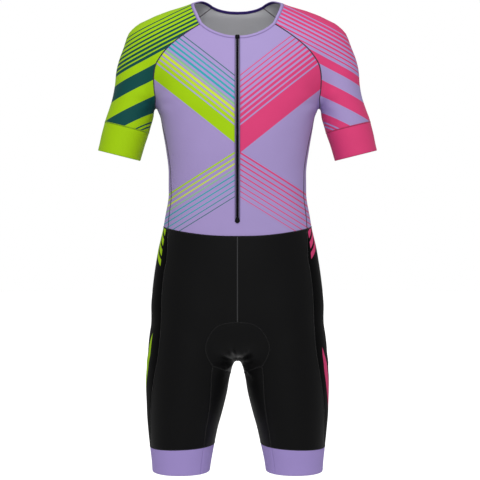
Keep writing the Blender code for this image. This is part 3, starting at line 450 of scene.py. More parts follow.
def waist_height(angle):
    """The waist seam, nearly level in front and behind, and steeper toward the sides."""
    rise = np.where(np.cos(angle) > 0, WAIST_FRONT_Z - WAIST_SIDE_Z, WAIST_BACK_Z - WAIST_SIDE_Z)
    return WAIST_SIDE_Z + (1 - np.abs(np.sin(angle)) ** 3) * rise


def bodice_seams():
    """The seam lines of the bodice, cut into the cells that the panels on their two sides share."""
    pit = armpit_point()
    at = {}
    at["front_raglan"] = onto(even(np.vstack([pit, seam(FRONT_RAGLAN)]), RAGLAN))
    at["back_raglan"] = onto(even(np.vstack([pit, seam(BACK_RAGLAN, 1)]), RAGLAN))
    at["front_raglan"][0] = at["back_raglan"][0] = pit

    heights = SIDE_SEAM["z"].copy()
    heights[0] = waist_height(WAIST_SEAM)
    at["side"] = onto(even(np.vstack([spin(np.radians(SIDE_SEAM["angle"]), heights), pit]), RISE))
    at["side"][-1] = pit

    for name, start, end, cells in (
        ("waist_front", 0.0, WAIST_SEAM, FRONT),
        ("waist_side", WAIST_SEAM, WAIST_BACK_SEAM, SIDE),
        ("waist_back", WAIST_BACK_SEAM, math.pi, BACK),
    ):
        turn = np.linspace(start, end, cells + 1)
        at[name] = spin(turn, waist_height(turn))

    at["neck_front"] = even(seam(FRONT_NECK), FRONT)
    at["neck_back"] = even(seam(BACK_NECK, 1), SIDE + BACK)
    at["neck_front"][-1] = at["front_raglan"][-1]
    at["neck_back"][-1] = at["back_raglan"][-1]
    return at


def bodice_front(at):
    """The front's half, from the waist up; its column SLOT runs along the zip slot's edge."""
    heights = np.concatenate([
        np.linspace(WAIST_FRONT_Z, SLOT_BOTTOM_Z, SLOT + 1),
        np.linspace(SLOT_BOTTOM_Z, SWEEP_LEVEL[0], RISE - SLOT + 1)[1:],
        np.linspace(SWEEP_LEVEL[0], NECK_FRONT_Z, RAGLAN + 1)[1:],
    ])
    outer = chain(at["side"], at["front_raglan"])
    grid = patch(at["waist_front"], at["neck_front"], facing(0.0, heights), outer, 0.0)
    narrow = np.clip((heights - WAIST_FRONT_Z) / (SLOT_BOTTOM_Z - WAIST_FRONT_Z), 0, 1)
    spread = grid[:, SLOT, 0] * (1 - narrow) + SLOT_HALF * narrow
    turn = angle_of(grid, 0.0, -math.pi)
    new = np.arctan2(spread, -facing(spread, grid[:, SLOT, 2])[:, 1])
    inner = np.arange(FRONT + 1) <= SLOT
    for i in range(1, len(grid)):
        last, old = turn[i, -1], turn[i, SLOT]
        outside = last - (last - turn[i]) * (last - new[i]) / (last - old)
        want = np.where(inner, turn[i] * new[i] / old, outside)
        edge = grid[i, -1].copy()
        grid[i] = spin(want, np.interp(want, turn[i], grid[i, :, 2]))
        grid[i, -1] = edge
    at["neck_front"] = grid[-1]
    return grid


def bodice_back(at):
    """The back's half, from the side seam round to its middle."""
    heights = np.concatenate([
        np.linspace(WAIST_BACK_Z, SWEEP_LEVEL[1], RISE + 1),
        np.linspace(SWEEP_LEVEL[1], float(at["neck_back"][0, 2]), RAGLAN + 1)[1:],
    ])
    middle = facing(0.0, heights, 1)
    outer = chain(at["side"], at["back_raglan"])
    waist = chain(at["waist_side"], at["waist_back"])
    return patch(waist, at["neck_back"][::-1], outer, middle, 0.0, 0.0)


def fan_row(s, start, end):
    """One row of the sleeve from its front seam over the shoulder to its back seam."""
    centre_x, centre_z, lean, bulge = (
        float(through(FAN["s"], FAN[n], s)) for n in ("centre_x", "centre_z", "lean", "bulge")
    )
    centre = np.array([centre_x, 0.0, centre_z])
    lean = math.radians(lean)
    ahead = np.array([0.0, -1.0, 0.0])
    top = np.array([math.sin(lean), 0.0, math.cos(lean)])
    across = np.array([math.cos(lean), 0.0, -math.sin(lean)])

    def turned(point, lowest):
        d = point - centre
        angle = lowest + (math.atan2(d @ top, d @ ahead) - lowest) % (2 * math.pi)
        return angle, (d @ across) / math.hypot(d @ top, d @ ahead)

    first, first_off = turned(start, -math.pi * 0.9)
    last, last_off = turned(end, math.pi * 0.1)
    if s == 0:
        first, last = UNDER_ARM, UNDER_ARM + 2 * math.pi
    u = np.linspace(0, 1, OVER + 1)
    angle = first + (last - first) * u
    off = first_off + (last_off - first_off) * u + bulge * np.sin(math.pi * u)
    along = np.cos(angle)[:, None] * ahead + np.sin(angle)[:, None] * top + off[:, None] * across
    row = cast(centre, along, **ARM_SEARCH)
    row[0], row[-1] = start, end
    return mended(row)


def arm_ring(z):
    """A ring round the arm on a tilted plane, starting and ending under the arm."""
    centre_x = float(column(ARM, "centre_x", z))
    angle = UNDER_ARM + np.linspace(0, 2 * math.pi, OVER + 1)
    ring = spin(angle, z, centre_x, **ARM_SEARCH)
    for _ in range(5):
        ring = spin(angle, z + CUFF_TILT * (ring[:, 0] - centre_x), centre_x, **ARM_SEARCH)
    ring[-1] = ring[0]
    return ring


def sleeve_and_cuff(at):
    """Fan rows from the neck to the armpit, then rings down to the cuff's seam and its hem."""
    rows = [
        fan_row(i / RAGLAN, at["front_raglan"][i], at["back_raglan"][i]) for i in range(RAGLAN, -1, -1)
    ]
    at["neck_side"], pit_row = rows[0], rows[-1]
    seam_ring = arm_ring(CUFF_SEAM_Z)
    first = angle_of(pit_row, PIT_FAN_X, UNDER_ARM - 0.05)
    first[0], first[-1] = UNDER_ARM, UNDER_ARM + 2 * math.pi
    last = UNDER_ARM + np.linspace(0, 2 * math.pi, OVER + 1)
    for k in range(1, TUBE):
        t = k / TUBE
        z = pit_row[:, 2] * (1 - t) + seam_ring[:, 2] * t
        ring = spin(first * (1 - t) + last * t, z, column(ARM, "centre_x", z), **ARM_SEARCH)
        ring[-1] = ring[0]
        rows.append(mended(ring))
    rows.append(seam_ring)
    cuff = [seam_ring]
    cuff += [arm_ring(CUFF_SEAM_Z + (CUFF_HEM_Z - CUFF_SEAM_Z) * k / CUFF) for k in range(1, CUFF + 1)]
    return np.array(rows), np.array(cuff)


def neck_binding(at):
    """The binding's half, from the zip round to the middle of the back."""
    edge = chain(at["neck_front"][SLOT:], at["neck_side"], at["neck_back"][::-1])
    rise = unit(np.cross(outward(edge, 0.004), np.gradient(edge, axis=0)))
    up = (rise * (NECK_MIDDLE - edge)).sum(-1, keepdims=True)
    rise *= np.where(up < 0, -1.0, 1.0)
    rise[0, 0] = rise[-1, 0] = 0.0
    rows = [edge]
    for k in range(1, EDGE + 1):
        row = onto(edge + rise * BINDING_WIDTH * k / EDGE)
        row[0, 0], row[-1, 0] = SLOT_HALF, 0.0
        rows.append(row)
    return np.array(rows)


def leg_band_height(turn):
    return LEG_BAND_Z + LEG_BAND_LEAN * np.sin(turn)


def leg_band_ring():
    """The leg band's seam, in the four parts that the panels above it end on."""
    ring = {}
    for k, (name, cells) in enumerate((("front", FRONT), ("side", SIDE), ("back", BACK), ("inner", INNER))):
        turn = np.linspace(LEG_BAND_STOPS[k], LEG_BAND_STOPS[k + 1], cells + 1)
        ring[name] = spin(turn, leg_band_height(turn), LEG_BAND_X)
    ring["inner"][-1] = ring["front"][0]
    return ring


def inner_edge(side, waist_z, lines, top, foot):
    """The inner edge of the shorts' front (side -1) or back (+1), from the waist down to the leg band."""
    arc, flank, thigh = (seam(points, side) for points in lines)
    line = onto(chain(
        facing(0.0, np.linspace(waist_z, lines[0][0][1], CENTRE + 1), side),
        even(arc, ARC),
        even(flank, FLANK),
        even(np.vstack([thigh, foot]), THIGH),
    ))
    line[0], line[-1] = top, foot
    line[: CENTRE + 1, 0] = 0.0
    return line


def crotch_gusset(front, back, under):
    """The gusset's half, with rows from its middle to its edge, and that edge."""
    corner = CENTRE + ARC
    edge = chain(front[corner : GUSSET_END + 1], under[::-1], back[corner : GUSSET_END + 1][::-1])
    first, last = front[CENTRE : corner + 1], back[CENTRE : corner + 1]
    spine = onto(np.array([(0.0, *(point or (0.0, fork_height()))) for point in GUSSET_SPINE]))
    spine[0], spine[-1] = first[0], last[0]
    spine[:, 0] = 0.0
    spine = onto(even(spine, len(edge) - 1))
    spine[:, 0] = 0.0
    spine[0], spine[-1] = first[0], last[0]
    grid = onto(between(first, last, spine, edge, np.linspace(0, 1, len(first)), share(spine)), 30)
    grid[0], grid[-1], grid[:, 0], grid[:, -1] = first, last, spine, edge
    return grid, edge


def leg_band(whole):
    """Rows from the leg band's seam down to its hem."""
    turn = angle_of(whole, LEG_BAND_X, LEG_BAND_STOPS[0] - 1e-6)
    turn[-1] = turn[0] + 2 * math.pi
    band = [whole]
    for k in range(1, BAND + 1):
        t = k / BAND
        z = leg_band_height(turn) * (1 - t) + LEG_HEM_Z * t
        row = spin(turn, z, column(LEG, "centre_x", z))
        row[-1] = row[0]
        band.append(row)
    return np.array(band)


def shorts(at, panels):
    """The shorts' panels of one side, the gusset's half and the leg band."""
    ring = leg_band_ring()
    waist = {name: at[f"waist_{name}"] for name in ("front", "side", "back")}
    front_lines, back_lines = (FRONT_ARC, FRONT_FLANK, FRONT_THIGH), (BACK_ARC, BACK_FLANK, BACK_THIGH)
    front = inner_edge(-1, WAIST_FRONT_Z, front_lines, waist["front"][0], ring["front"][0])
    back = inner_edge(1, WAIST_BACK_Z, back_lines, waist["back"][-1], ring["back"][-1])

    # The side panel's two seams: one point for each row, spaced like the inner lines.
    down = front[:, 2] - front[0, 2]
    pace = 0.5 * down / down[-1] + 0.5 * np.linspace(0, 1, len(front))
    axis_x = through(*SHORTS_AXIS, WAIST_SIDE_Z + pace * (LEG_BAND_Z - WAIST_SIDE_Z))
    axis_x[0], axis_x[-1] = 0.0, LEG_BAND_X

    def paced(end):
        return waist["side"][end, 2] + pace * (ring["side"][end, 2] - waist["side"][end, 2])

    outer = facing(column(OUTER_SEAM, "x", paced(0)), paced(0))
    outer_back = spin(np.radians(through(*OUTER_BACK_ANGLES, pace)), paced(-1), axis_x)
    for line, end in ((outer, 0), (outer_back, -1)):
        line[0], line[-1] = waist["side"][end], ring["side"][end]
    panels["shorts_front"] = patch(waist["front"], ring["front"], front, outer, axis_x)
    panels["shorts_side"] = patch(waist["side"], ring["side"], outer, outer_back, axis_x, 0.0)
    panels["shorts_back"] = patch(waist["back"], ring["back"], outer_back, back, axis_x, 0.5)

    # The gusset's lower edge dips along the inner thigh, and the inner leg hangs from it.
    start, end = back[GUSSET_END], front[GUSSET_END]
    u = np.linspace(0, 1, INNER + 1)
    turn = np.linspace(angle_of(start, GUSSET_AXIS_X, 0.5), angle_of(end, GUSSET_AXIS_X, math.pi), INNER + 1)
    under = spin(turn, start[2] * (1 - u) + end[2] * u - GUSSET_DIP * np.sin(math.pi * u), GUSSET_AXIS_X)
    under[0], under[-1] = start, end
    sides = back[GUSSET_END:], front[GUSSET_END:]
    panels["inner_leg"] = patch(under, ring["inner"], *sides, axis_x[GUSSET_END:], math.pi * 0.75)
    panels["gusset"], edge = crotch_gusset(front, back, under)
    panels["leg_band"] = leg_band(chain(*ring.values()))
    at.update(front_inner=front, back_inner=back, outer=outer, outer_back=outer_back, gusset=edge)


def make_panels():
    """Every cloth panel of the wearer's left half, by name, and the seam lines between them."""
    at = bodice_seams()
    panels = {"front": bodice_front(at), "back": bodice_back(at)}
    panels["sleeve"], panels["cuff"] = sleeve_and_cuff(at)
    panels["binding"] = neck_binding(at)
    shorts(at, panels)
    top = float(panels["binding"][-1, 0, 2])
    z = np.concatenate([[top], panels["front"][::-1, SLOT, 2][: RAGLAN + RISE - SLOT + 1]])
    z[-1] += TAPE_SHORT
    panels["zip"] = facing([0.0, ZIP_HALF], z[:, None])
    return panels, at


def both_halves(grid):
    """A half grid whose first column lies on the middle line, with its mirror image."""
    return np.concatenate([mirrored(grid[:, :0:-1]), grid], axis=1)


# ---------------------------------------------------------------- folds and fine cloth

GROUP = bpy.data.collections.new("dressed_suit")
bpy.context.scene.collection.children.link(GROUP)

ROLL_REACH, ROLL_DROP = 0.0017, 0.0004  # each panel's edge rolls down to its seam
STRETCH = 0.93  # the cut's size against the worn size, each way
# Folds: rays from the fork, the pad drawn up in the fork, creases from the armpits, uneven cloth, gathers.
FORK_Z = fork_height()
FORK_DEPTH, FORK_REACH = 0.0040, (0.002, 0.052)
FORK_RAYS = (0.7, 6.4, -0.5), (0.4, 11.3, 1.1)  # share of the depth, waves and shift of each set of rays
FORK_FADE = 0.04  # the rays fade over this much of the form's front
FORK_LIFT, LIFT_HALF, LIFT_TALL = 0.0027, 0.004, 0.010
PIT_X, PIT_Z = 0.154, -0.192
PIT_DEPTH, PIT_REACH = 0.0011, (0.006, 0.052)
PIT_RAYS = 6.0, 0.9  # waves and shift
UNEVEN, FINE_UNEVEN = 0.0005, 0.0003
GATHER_DEPTH, GATHERS, GATHER_Z, GATHER_FADE = 0.00025, 54.6, -0.436, 0.010
# The pad's half width, where it starts and ends, and how far it takes to thicken there.
PAD_HALF = 0.058
PAD_FRONT_Z, PAD_FRONT_FADE = -0.604, 0.030
PAD_LOW_Z, PAD_LOW_FADE = -0.702, 0.018


def swell(distance, near, far):
    """One between near and far, falling softly to zero at both ends."""
    inside = np.clip((distance - near) / (0.4 * (far - near)), 0, 1)
    outside = np.clip((far - distance) / (0.6 * (far - near)), 0, 1)
    return np.minimum(inside**2 * (3 - 2 * inside), outside**2 * (3 - 2 * outside))


def folds(p):
    """How far the cloth stands out: rays from the fork and armpits, uneven cloth, the waist's gathers."""
    x, y, z = p[..., 0], p[..., 1], p[..., 2]
    up = z - FORK_Z
    turn = np.arctan2(x, up)
    rays = FORK_DEPTH * sum(part * np.cos(waves * turn + shift) for part, waves, shift in FORK_RAYS)
    rays = rays * swell(np.hypot(x, up), *FORK_REACH) * np.clip(-y / FORK_FADE, 0, 1)
    lift = FORK_LIFT * np.exp(-((x / LIFT_HALF) ** 2) - (up / LIFT_TALL) ** 2)
    off, up = np.abs(x) - PIT_X, z - PIT_Z
    creases = PIT_DEPTH * np.cos(PIT_RAYS[0] * np.arctan2(off, up) + PIT_RAYS[1])
    creases = creases * swell(np.hypot(off, up), *PIT_REACH)
    soft = UNEVEN * np.sin(31 * z + 9 * x) * np.sin(27 * x + 11 * y)
    soft = soft + FINE_UNEVEN * np.sin(57 * z - 21 * x + 14 * y)
    gather = GATHER_DEPTH * np.sin(GATHERS * np.arctan2(x, -y)) * np.exp(-np.abs(z - GATHER_Z) / GATHER_FADE)
    return rays - lift + creases + soft + gather


def pad_depth(points):
    """The gusset's wall: cloth at its rim, the pad's full depth in its middle."""
    across = np.clip(1 - np.abs(points[..., 0]) / PAD_HALF, 0, 1)
    down = np.clip((PAD_FRONT_Z - points[..., 2]) / PAD_FRONT_FADE, 0, 1)
    side = np.clip((points[..., 2] - PAD_LOW_Z) / PAD_LOW_FADE, 0, 1)
    full = np.minimum(np.minimum(np.sqrt(across), down), side)
    return WALL + (PAD_WALL - WALL) * full * full * (3 - 2 * full)


def beside(edge, following, reach):
    """The line a little way in from an edge line, toward the line that follows it."""
    step = following - edge
    return edge + step * np.minimum(0.5, reach / np.linalg.norm(step, axis=-1, keepdims=True))


def short_of_seams(grid):
    """The grid with its four edge lines moved a little way in."""
    pulled = grid.copy()
    for _ in range(2):
        pulled[0], pulled[-1] = beside(grid[0], grid[1], SEAM_GAP), beside(grid[-1], grid[-2], SEAM_GAP)
        pulled, grid = np.swapaxes(pulled, 0, 1).copy(), np.swapaxes(grid, 0, 1)
    return pulled


def rolled(grid):
    """The grid with one more line just inside each of its four edges."""
    for _ in range(2):
        first, last = beside(grid[0], grid[1], ROLL_REACH), beside(grid[-1], grid[-2], ROLL_REACH)
        grid = np.swapaxes(np.concatenate([grid[:1], first[None], grid[1:-1], last[None], grid[-1:]]), 0, 1)
    return grid


def run_of(grid, axis, zero=0):
    """Each point's distance along its row or column from line zero."""
    step = np.linalg.norm(np.diff(grid, axis=axis), axis=-1)
    run = np.insert(np.cumsum(step, axis=axis), 0, 0, axis=axis)
    return run - np.take(run, [zero], axis=axis)


def add_object(name, mesh, materials):
    for material in materials:
        mesh.materials.append(material)
    mesh.shade_smooth()
    obj = bpy.data.objects.new(name, mesh)
    GROUP.objects.link(obj)
    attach(obj, "suit")
    return obj


def shell(name, grid, wall, materials, zero=0, removed=None):
    """A panel as a thin closed sheet: its outer face, its inner face and the rim between them.

    zero is the column where the cut's U starts; removed is a slice pair of cells left open.
    """
    grid = rolled(short_of_seams(grid))
    rows, columns = grid.shape[:2]
    count = rows * columns
    keep = np.ones((rows - 1, columns - 1), bool)
    if removed:
        keep[removed] = False
    drop = np.zeros((rows, columns))
    drop[0] = drop[-1] = drop[:, 0] = drop[:, -1] = ROLL_DROP
    normal = outward(grid)
    depth = (wall(grid) if callable(wall) else wall) * np.ones((rows, columns))
    outer = grid + (folds(grid) - drop)[..., None] * normal
    inner = outer - (depth - drop)[..., None] * normal
    index = np.arange(count).reshape(rows, columns)
    cells = np.stack([index[:-1, :-1], index[:-1, 1:], index[1:, 1:], index[1:, :-1]], -1)[keep]
    corner = outer.reshape(-1, 3)[cells]
    facing_in = np.cross(corner[:, 1] - corner[:, 0], corner[:, 3] - corner[:, 0])
    if (facing_in * normal.reshape(-1, 3)[cells[:, 0]]).sum() < 0:
        cells = cells[:, ::-1]
    edges = np.stack([cells, np.roll(cells, -1, axis=1)], -1).reshape(-1, 2).tolist()
    seen = set(map(tuple, edges))
    rim = np.array([(b, a, a + count, b + count) for a, b in edges if (b, a) not in seen])
    used, faces = np.unique(np.vstack([cells, cells[:, ::-1] + count, rim]), return_inverse=True)
    faces = faces.reshape(-1, 4)
    points = np.vstack([outer.reshape(-1, 3), inner.reshape(-1, 3)])[used]
    mesh = bpy.data.meshes.new(name)
    mesh.from_pydata(points.tolist(), [], faces.tolist())
    cut = np.stack([run_of(grid, 1, zero), run_of(grid, 0)], -1).reshape(-1, 2)
    cut = np.vstack([cut, cut])[used]
    layer = mesh.uv_layers.new(name="cut")
    layer.data.foreach_set("uv", cut[faces.ravel()].astype(np.float32).ravel())
    obj = add_object(name, mesh, materials)
    inside = np.zeros(len(faces), np.int32)
    inside[len(cells) : 2 * len(cells)] = len(materials) - 1
    mesh.polygons.foreach_set("material_index", inside)
    ahead = corner[:, 1:] - corner[:, :1]
    area = 0.5 * np.linalg.norm(np.cross(ahead[:, :2], ahead[:, 1:]), axis=-1).sum()
    size = np.ptp(run_of(grid, 1, zero), axis=1).max(), np.ptp(run_of(grid, 0), axis=0).max()
    obj["flat"] = [STRETCH * float(s) for s in size]
    obj["area"] = float(area * STRETCH**2)
    return obj


def declare(obj, pieces=()):
    """Works out a panel's cut, its size before it is stretched over the wearer, and its area; nothing is
    stated with them.
    """
    width, length = obj["flat"]
    area = min(obj["area"], width * length)


# ---------------------------------------------------------------- seams, stitches and zip coil

SEAM_HALF, SEAM_RISE, SEAM_SINK = 0.0011, 0.00035, 0.0006
RIBBON_PITCH = 0.003
SMOOTHED = 0.003  # reach over which a seam's normals are taken
# A ribbon's section: share of its half width, share of its rise or, below zero, of its sink.
RIBBON = np.array([
    (-1.0, -1.0), (-1.0, 0.25), (-0.62, 0.85), (0.0, 1.0), (0.62, 0.85), (1.0, 0.25), (1.0, -1.0),
])
SPINDLE = np.array([(-1.0, 0.35), (-0.7, 0.95), (0.7, 0.95), (1.0, 0.35)])  # share of half length, of radius
STITCH_LONG, STITCH_PITCH, STITCH_THICK = 0.0019, 0.0024, 0.00017


def resampled(line, pitch):
    length = np.linalg.norm(np.diff(line, axis=0), axis=1).sum()
    return even(line, max(2, round(length / pitch)))


def frame_along(line, closed=False):
    """A line's tangents, sideways directions and normals on the form."""
    if closed:
        ahead = np.roll(line[:-1], -1, axis=0) - np.roll(line[:-1], 1, axis=0)
        ahead = np.vstack([ahead, ahead[:1]])
    else:
        ahead = np.gradient(line, axis=0)
    ahead = unit(ahead)
    normal = outward(line, SMOOTHED)
    return ahead, unit(np.cross(normal, ahead)), normal


def closed_object(name, points, faces, material):
    """An object from faces that may be wound either way, turned to face outward."""
    mesh = bpy.data.meshes.new(name)
    mesh.from_pydata(points.reshape(-1, 3).tolist(), [], faces)
    made = bmesh.new()
    made.from_mesh(mesh)
    bmesh.ops.recalc_face_normals(made, faces=made.faces)
    made.to_mesh(mesh)
    made.free()
    return add_object(name, mesh, [material])


def ribbon(name, line, material, half=SEAM_HALF, rise=SEAM_RISE, closed=False, inside=False):
    """A low rounded ribbon along a line of the form, a little sunk into the cloth's outer or inner face."""
    line = onto(resampled(line, RIBBON_PITCH), 4)
    if closed:
        line[-1] = line[0]
    _, side, normal = frame_along(line, closed)
    base = line + (folds(line) - inside * WALL)[:, None] * normal
    across, height = RIBBON.T[:, None, :, None]
    up = height * np.where(height > 0, rise, SEAM_SINK) * (-1 if inside else 1)
    rings = base[:, None] + across * half * side[:, None] + up * normal[:, None]
    rings = rings[:-1] if closed else rings
    index = np.arange(rings.shape[0] * rings.shape[1]).reshape(rings.shape[:2])
    ends = [] if closed else [index[0, ::-1].tolist(), index[-1].tolist()]
    following = np.roll(index, -1, axis=0) if closed else index[1:]
    index = index[: len(following)]
    faces = np.stack([index, np.roll(index, -1, 1), np.roll(following, -1, 1), following], -1)
    return closed_object(name, rings, faces.reshape(-1, 4).tolist() + ends, material)


def spindles(name, middle, along, normal, half, radius, material, sides=4):
    """Many short rounded bars as one object: stitches, or the coil's turns."""
    side = unit(np.cross(normal, along))
    up = np.cross(along, side)
    turns = (2 * math.pi * (np.arange(sides) + 0.5) / sides)[:, None]
    round_it = np.cos(turns) * side[:, None] + np.sin(turns) * up[:, None]
    length, size = SPINDLE.T[:, None, :, None, None]
    points = middle[:, None, None] + length * (half * along)[:, None, None]
    points = points + size * radius * round_it[:, None]
    ring = np.arange(sides)
    following = np.roll(ring, -1)
    levels = sides * np.arange(len(SPINDLE))[:, None, None]
    one = np.stack([ring, following, following + sides, ring + sides], -1) + levels[:-1]
    caps = np.stack([ring[::-1], levels[-1, 0, 0] + ring])
    starts = (len(SPINDLE) * sides * np.arange(len(middle)))[:, None, None]
    faces = (one.reshape(-1, 4) + starts).reshape(-1, 4).tolist()
    return closed_object(name, points, faces + (caps + starts).reshape(-1, sides).tolist(), material)


def stitches(name, line, material, offsets=(-0.0007, 0.0007), lift=SEAM_RISE, cross=True, closed=False):
    """Rows of stitches on both sides of a seam line, with the cover thread that crosses between them."""
    line = onto(resampled(line, STITCH_PITCH), 4)
    _, side, normal = frame_along(line, closed)
    base = line + (folds(line) + lift * 0.9)[:, None] * normal
    middle, side, normal = ((row[1:] + row[:-1]) / 2 for row in (base, side, normal))
    along = unit(base[1:] - base[:-1])
    ones = np.ones((len(middle), 1))
    rows = [(middle + off * side, along, normal, ones * STITCH_LONG / 2) for off in offsets]
    if cross:
        for sign in (1, -1):
            lean = sign * (offsets[1] - offsets[0]) * side + 0.5 * STITCH_PITCH * along
            reach = np.linalg.norm(lean, axis=1)[0] / 2
            start = middle - sign * 0.25 * STITCH_PITCH * along
            rows.append((start, unit(lean), normal, ones * reach))
    middle, along, normal, half = map(np.concatenate, zip(*rows))
    return spindles(name, middle, along, normal, half, STITCH_THICK, material)


# ---------------------------------------------------------------- shader arithmetic


class Num:
    """A number inside a material; arithmetic on it adds Math nodes."""

    def __init__(self, tree, socket):
        self.tree, self.socket = tree, socket

    def apply(self, operation, *others, clamp=False):
        node = self.tree.nodes.new("ShaderNodeMath")
        node.operation = operation
        node.use_clamp = clamp
        for slot, value in zip(node.inputs, (self, *others)):
            if isinstance(value, Num):
                self.tree.links.new(value.socket, slot)
            else:
                slot.default_value = value
        return Num(self.tree, node.outputs[0])

    def __add__(self, other):
        return self.apply("ADD", other)

    def __sub__(self, other):
        return self.apply("SUBTRACT", other)

    def __mul__(self, other):
        return self.apply("MULTIPLY", other)

    def __truediv__(self, other):
        return self.apply("DIVIDE", other)

    def __abs__(self):
        return self.apply("ABSOLUTE")

    def clamped(self):
        return self.apply("ADD", 0.0, clamp=True)

    def over(self, limit, soft=0.0004):
        """One above the limit, zero below it."""
        return ((self - limit) / soft + 0.5).clamped()

    def under(self, limit, soft=0.0004):
        return self.over(limit, -soft)

    def within(self, low, high):
        return self.over(low) * self.under(high)


def dye(red, green, blue):
    """A colour given from 0 to 255, as the shader takes it."""
    return tuple(((v / 255 + 0.055) / 1.055) ** 2.4 if v > 10 else v / 3294 for v in (red, green, blue))


class Paint:
    """A material: its surface settings, and its colour built up in layers over a base."""

    def __init__(self, name, base, **settings):
        """settings are the shader's inputs by name, with _ for each space."""
        self.material = bpy.data.materials.new(name)
        self.material.use_nodes = True
        self.tree, self.colour = self.material.node_tree, base
        self.shader = self.tree.nodes["Principled BSDF"]
        for slot, value in settings.items():
            self.shader.inputs[slot.replace("_", " ")].default_value = value
        self.place = self.add("ShaderNodeTexCoord").outputs["Object"]
        self.x, self.y, self.z = self.parts(self.place)
        uv = self.add("ShaderNodeUVMap")
        uv.uv_map = "cut"
        self.u, self.v, _ = self.parts(uv.outputs[0])

    def add(self, kind, source=None):
        """A new node, with a value or a socket on its first input."""
        node = self.tree.nodes.new(kind)
        if source is not None:
            self.feed(source, node.inputs[0])
        return node

    def parts(self, vector):
        return [Num(self.tree, out) for out in self.add("ShaderNodeSeparateXYZ", vector).outputs]

    def feed(self, value, slot):
        """Puts a number, a colour, or another node's output on a socket."""
        value = value.socket if isinstance(value, Num) else value
        if isinstance(value, bpy.types.NodeSocket):
            self.tree.links.new(value, slot)
        else:
            slot.default_value = (*value, 1.0) if isinstance(value, tuple) else value

    def over(self, share, colour, blend="MIX"):
        """Lays a colour over what is there, where share is one."""
        node = self.add("ShaderNodeMix", share)
        node.data_type, node.blend_type = "RGBA", blend
        self.feed(self.colour, node.inputs[6])
        self.feed(colour, node.inputs[7])
        self.colour = node.outputs[2]

    def graded(self, along, stops):
        """Colours that follow one another as along goes from 0 to 1."""
        node = self.add("ShaderNodeValToRGB", along)
        ramp = node.color_ramp
        while len(ramp.elements) < len(stops):
            ramp.elements.new(0.5)
        for element, (place, colour) in zip(ramp.elements, stops):
            element.position, element.color = place, (*colour, 1.0)
        return node.outputs[0]

    def noise(self, scale, detail=2.0):
        node = self.add("ShaderNodeTexNoise", self.place)
        node.inputs["Scale"].default_value = scale
        node.inputs["Detail"].default_value = detail
        return Num(self.tree, node.outputs[0])

    def bundle(self, across, start, pitch, count, thick, thin):
        """Parallel lines that run from thick to thin: (where they are, how far through the bundle)."""
        number = (across - start) / pitch
        through_it = (number / count).clamped()
        half = (through_it * (thin - thick) + thick) * (0.5 / pitch)
        off = abs(number.apply("FRACT") - 0.5)
        line = (off - half).under(0.0, 0.0005 / pitch)
        return line * number.over(0.0, 0.02) * number.under(float(count), 0.02), through_it

    def finished(self, roughness, height, strength, depth):
        """The material, with its colour, roughness and bump joined to its surface."""
        self.feed(self.colour, self.shader.inputs["Base Color"])
        self.feed(roughness, self.shader.inputs["Roughness"])
        bump = self.add("ShaderNodeBump")
        bump.inputs["Strength"].default_value = strength
        bump.inputs["Distance"].default_value = depth
        self.feed(height, bump.inputs["Height"])
        self.feed(bump.outputs[0], self.shader.inputs["Normal"])
        return self.material


# ---------------------------------------------------------------- the colours of the suit

LAVENDER, BAND_LAVENDER = dye(181, 162, 219), dye(185, 164, 233)
LIME = dye(177, 224, 16)
YELLOW = dye(220, 244, 62)
CYAN = dye(42, 178, 188)
TEAL = dye(18, 82, 79)
PINK = dye(238, 73, 131)
# The second black is the shorts' black knit painted darker for the side panels: painted shade of the flanks
# that turn away from the light.
BLACK, SHADED_SIDE_BLACK, TAPE_BLACK = dye(13, 13, 14), dye(9, 9, 10), dye(12, 12, 13)
LACQUER, COIL_LACQUER = (0.006, 0.006, 0.007), (0.004, 0.004, 0.005)
UNDYED = dye(232, 232, 236)
NAVY = dye(58, 42, 114)
# The zip's edging colour is the lavender darkened: painted shade where the cloth's edges roll down into the
# zip's slot.
SHADED_ZIP_EDGE = dye(128, 116, 158)
SEAM_TONES = {
    "print": dye(66, 58, 78),
    "black": dye(17, 17, 18),
    "grey": dye(66, 66, 68),
    "lavender": dye(160, 142, 198),
    "lime": dye(150, 192, 20),
    "pink": dye(206, 62, 112),
}
INNER_TONE = dye(126, 121, 128)


def fabric(name, base, draw=None, roughness=0.62, sheen=0.03, rib=0.0011, depth=0.00012, gloss=0.12):
    """A knit: its dye or print, fine wales and courses with painted shade in the grooves between them, a
    little unevenness and a soft sheen.
    """
    paint = Paint(name, base, Sheen_Weight=sheen, Sheen_Roughness=0.35, Specular_IOR_Level=gloss)
    if draw:
        draw(paint)
    wale = abs((paint.u * (math.pi / rib)).apply("SINE"))
    course = (paint.v * (2 * math.pi / (1.25 * rib))).apply("SINE") * 0.5 + 0.5
    loop = wale * (course * 0.5 + 0.5)
    cloud = paint.noise(26.0, 3.0)
    # The colour is darker where the loops sink between wales, a painted shade that follows the bump, and
    # varies at random with the cloud.
    tone = loop * 0.10 + cloud * 0.06 + 0.92
    shade = paint.add("ShaderNodeCombineColor")
    for slot in shade.inputs[:3]:
        paint.feed(tone, slot)
    paint.over(1.0, shade.outputs[0], "MULTIPLY")
    return paint.finished(cloud * 0.10 + (roughness - 0.05), loop, 0.5, depth)


def thread(name, colour):
    """Twisted sewing thread."""
    paint = Paint(name, colour, Sheen_Weight=0.2)
    fuzz = paint.noise(2600.0)
    paint.over(fuzz * 0.5, tuple(0.55 * c for c in colour))
    return paint.finished(fuzz * 0.2 + 0.6, fuzz, 0.4, 0.0001)


def coated_metal(name, colour):
    """Dark lacquered metal, a little worn on its raised spots."""
    paint = Paint(name, colour, Metallic=0.85)
    grain = paint.noise(900.0, 4.0)
    paint.over(((grain - 0.60) * 6.0).clamped() * 0.5, tuple(3.0 * c for c in colour))
    return paint.finished(grain * 0.25 + 0.25, grain, 0.15, 0.0001)


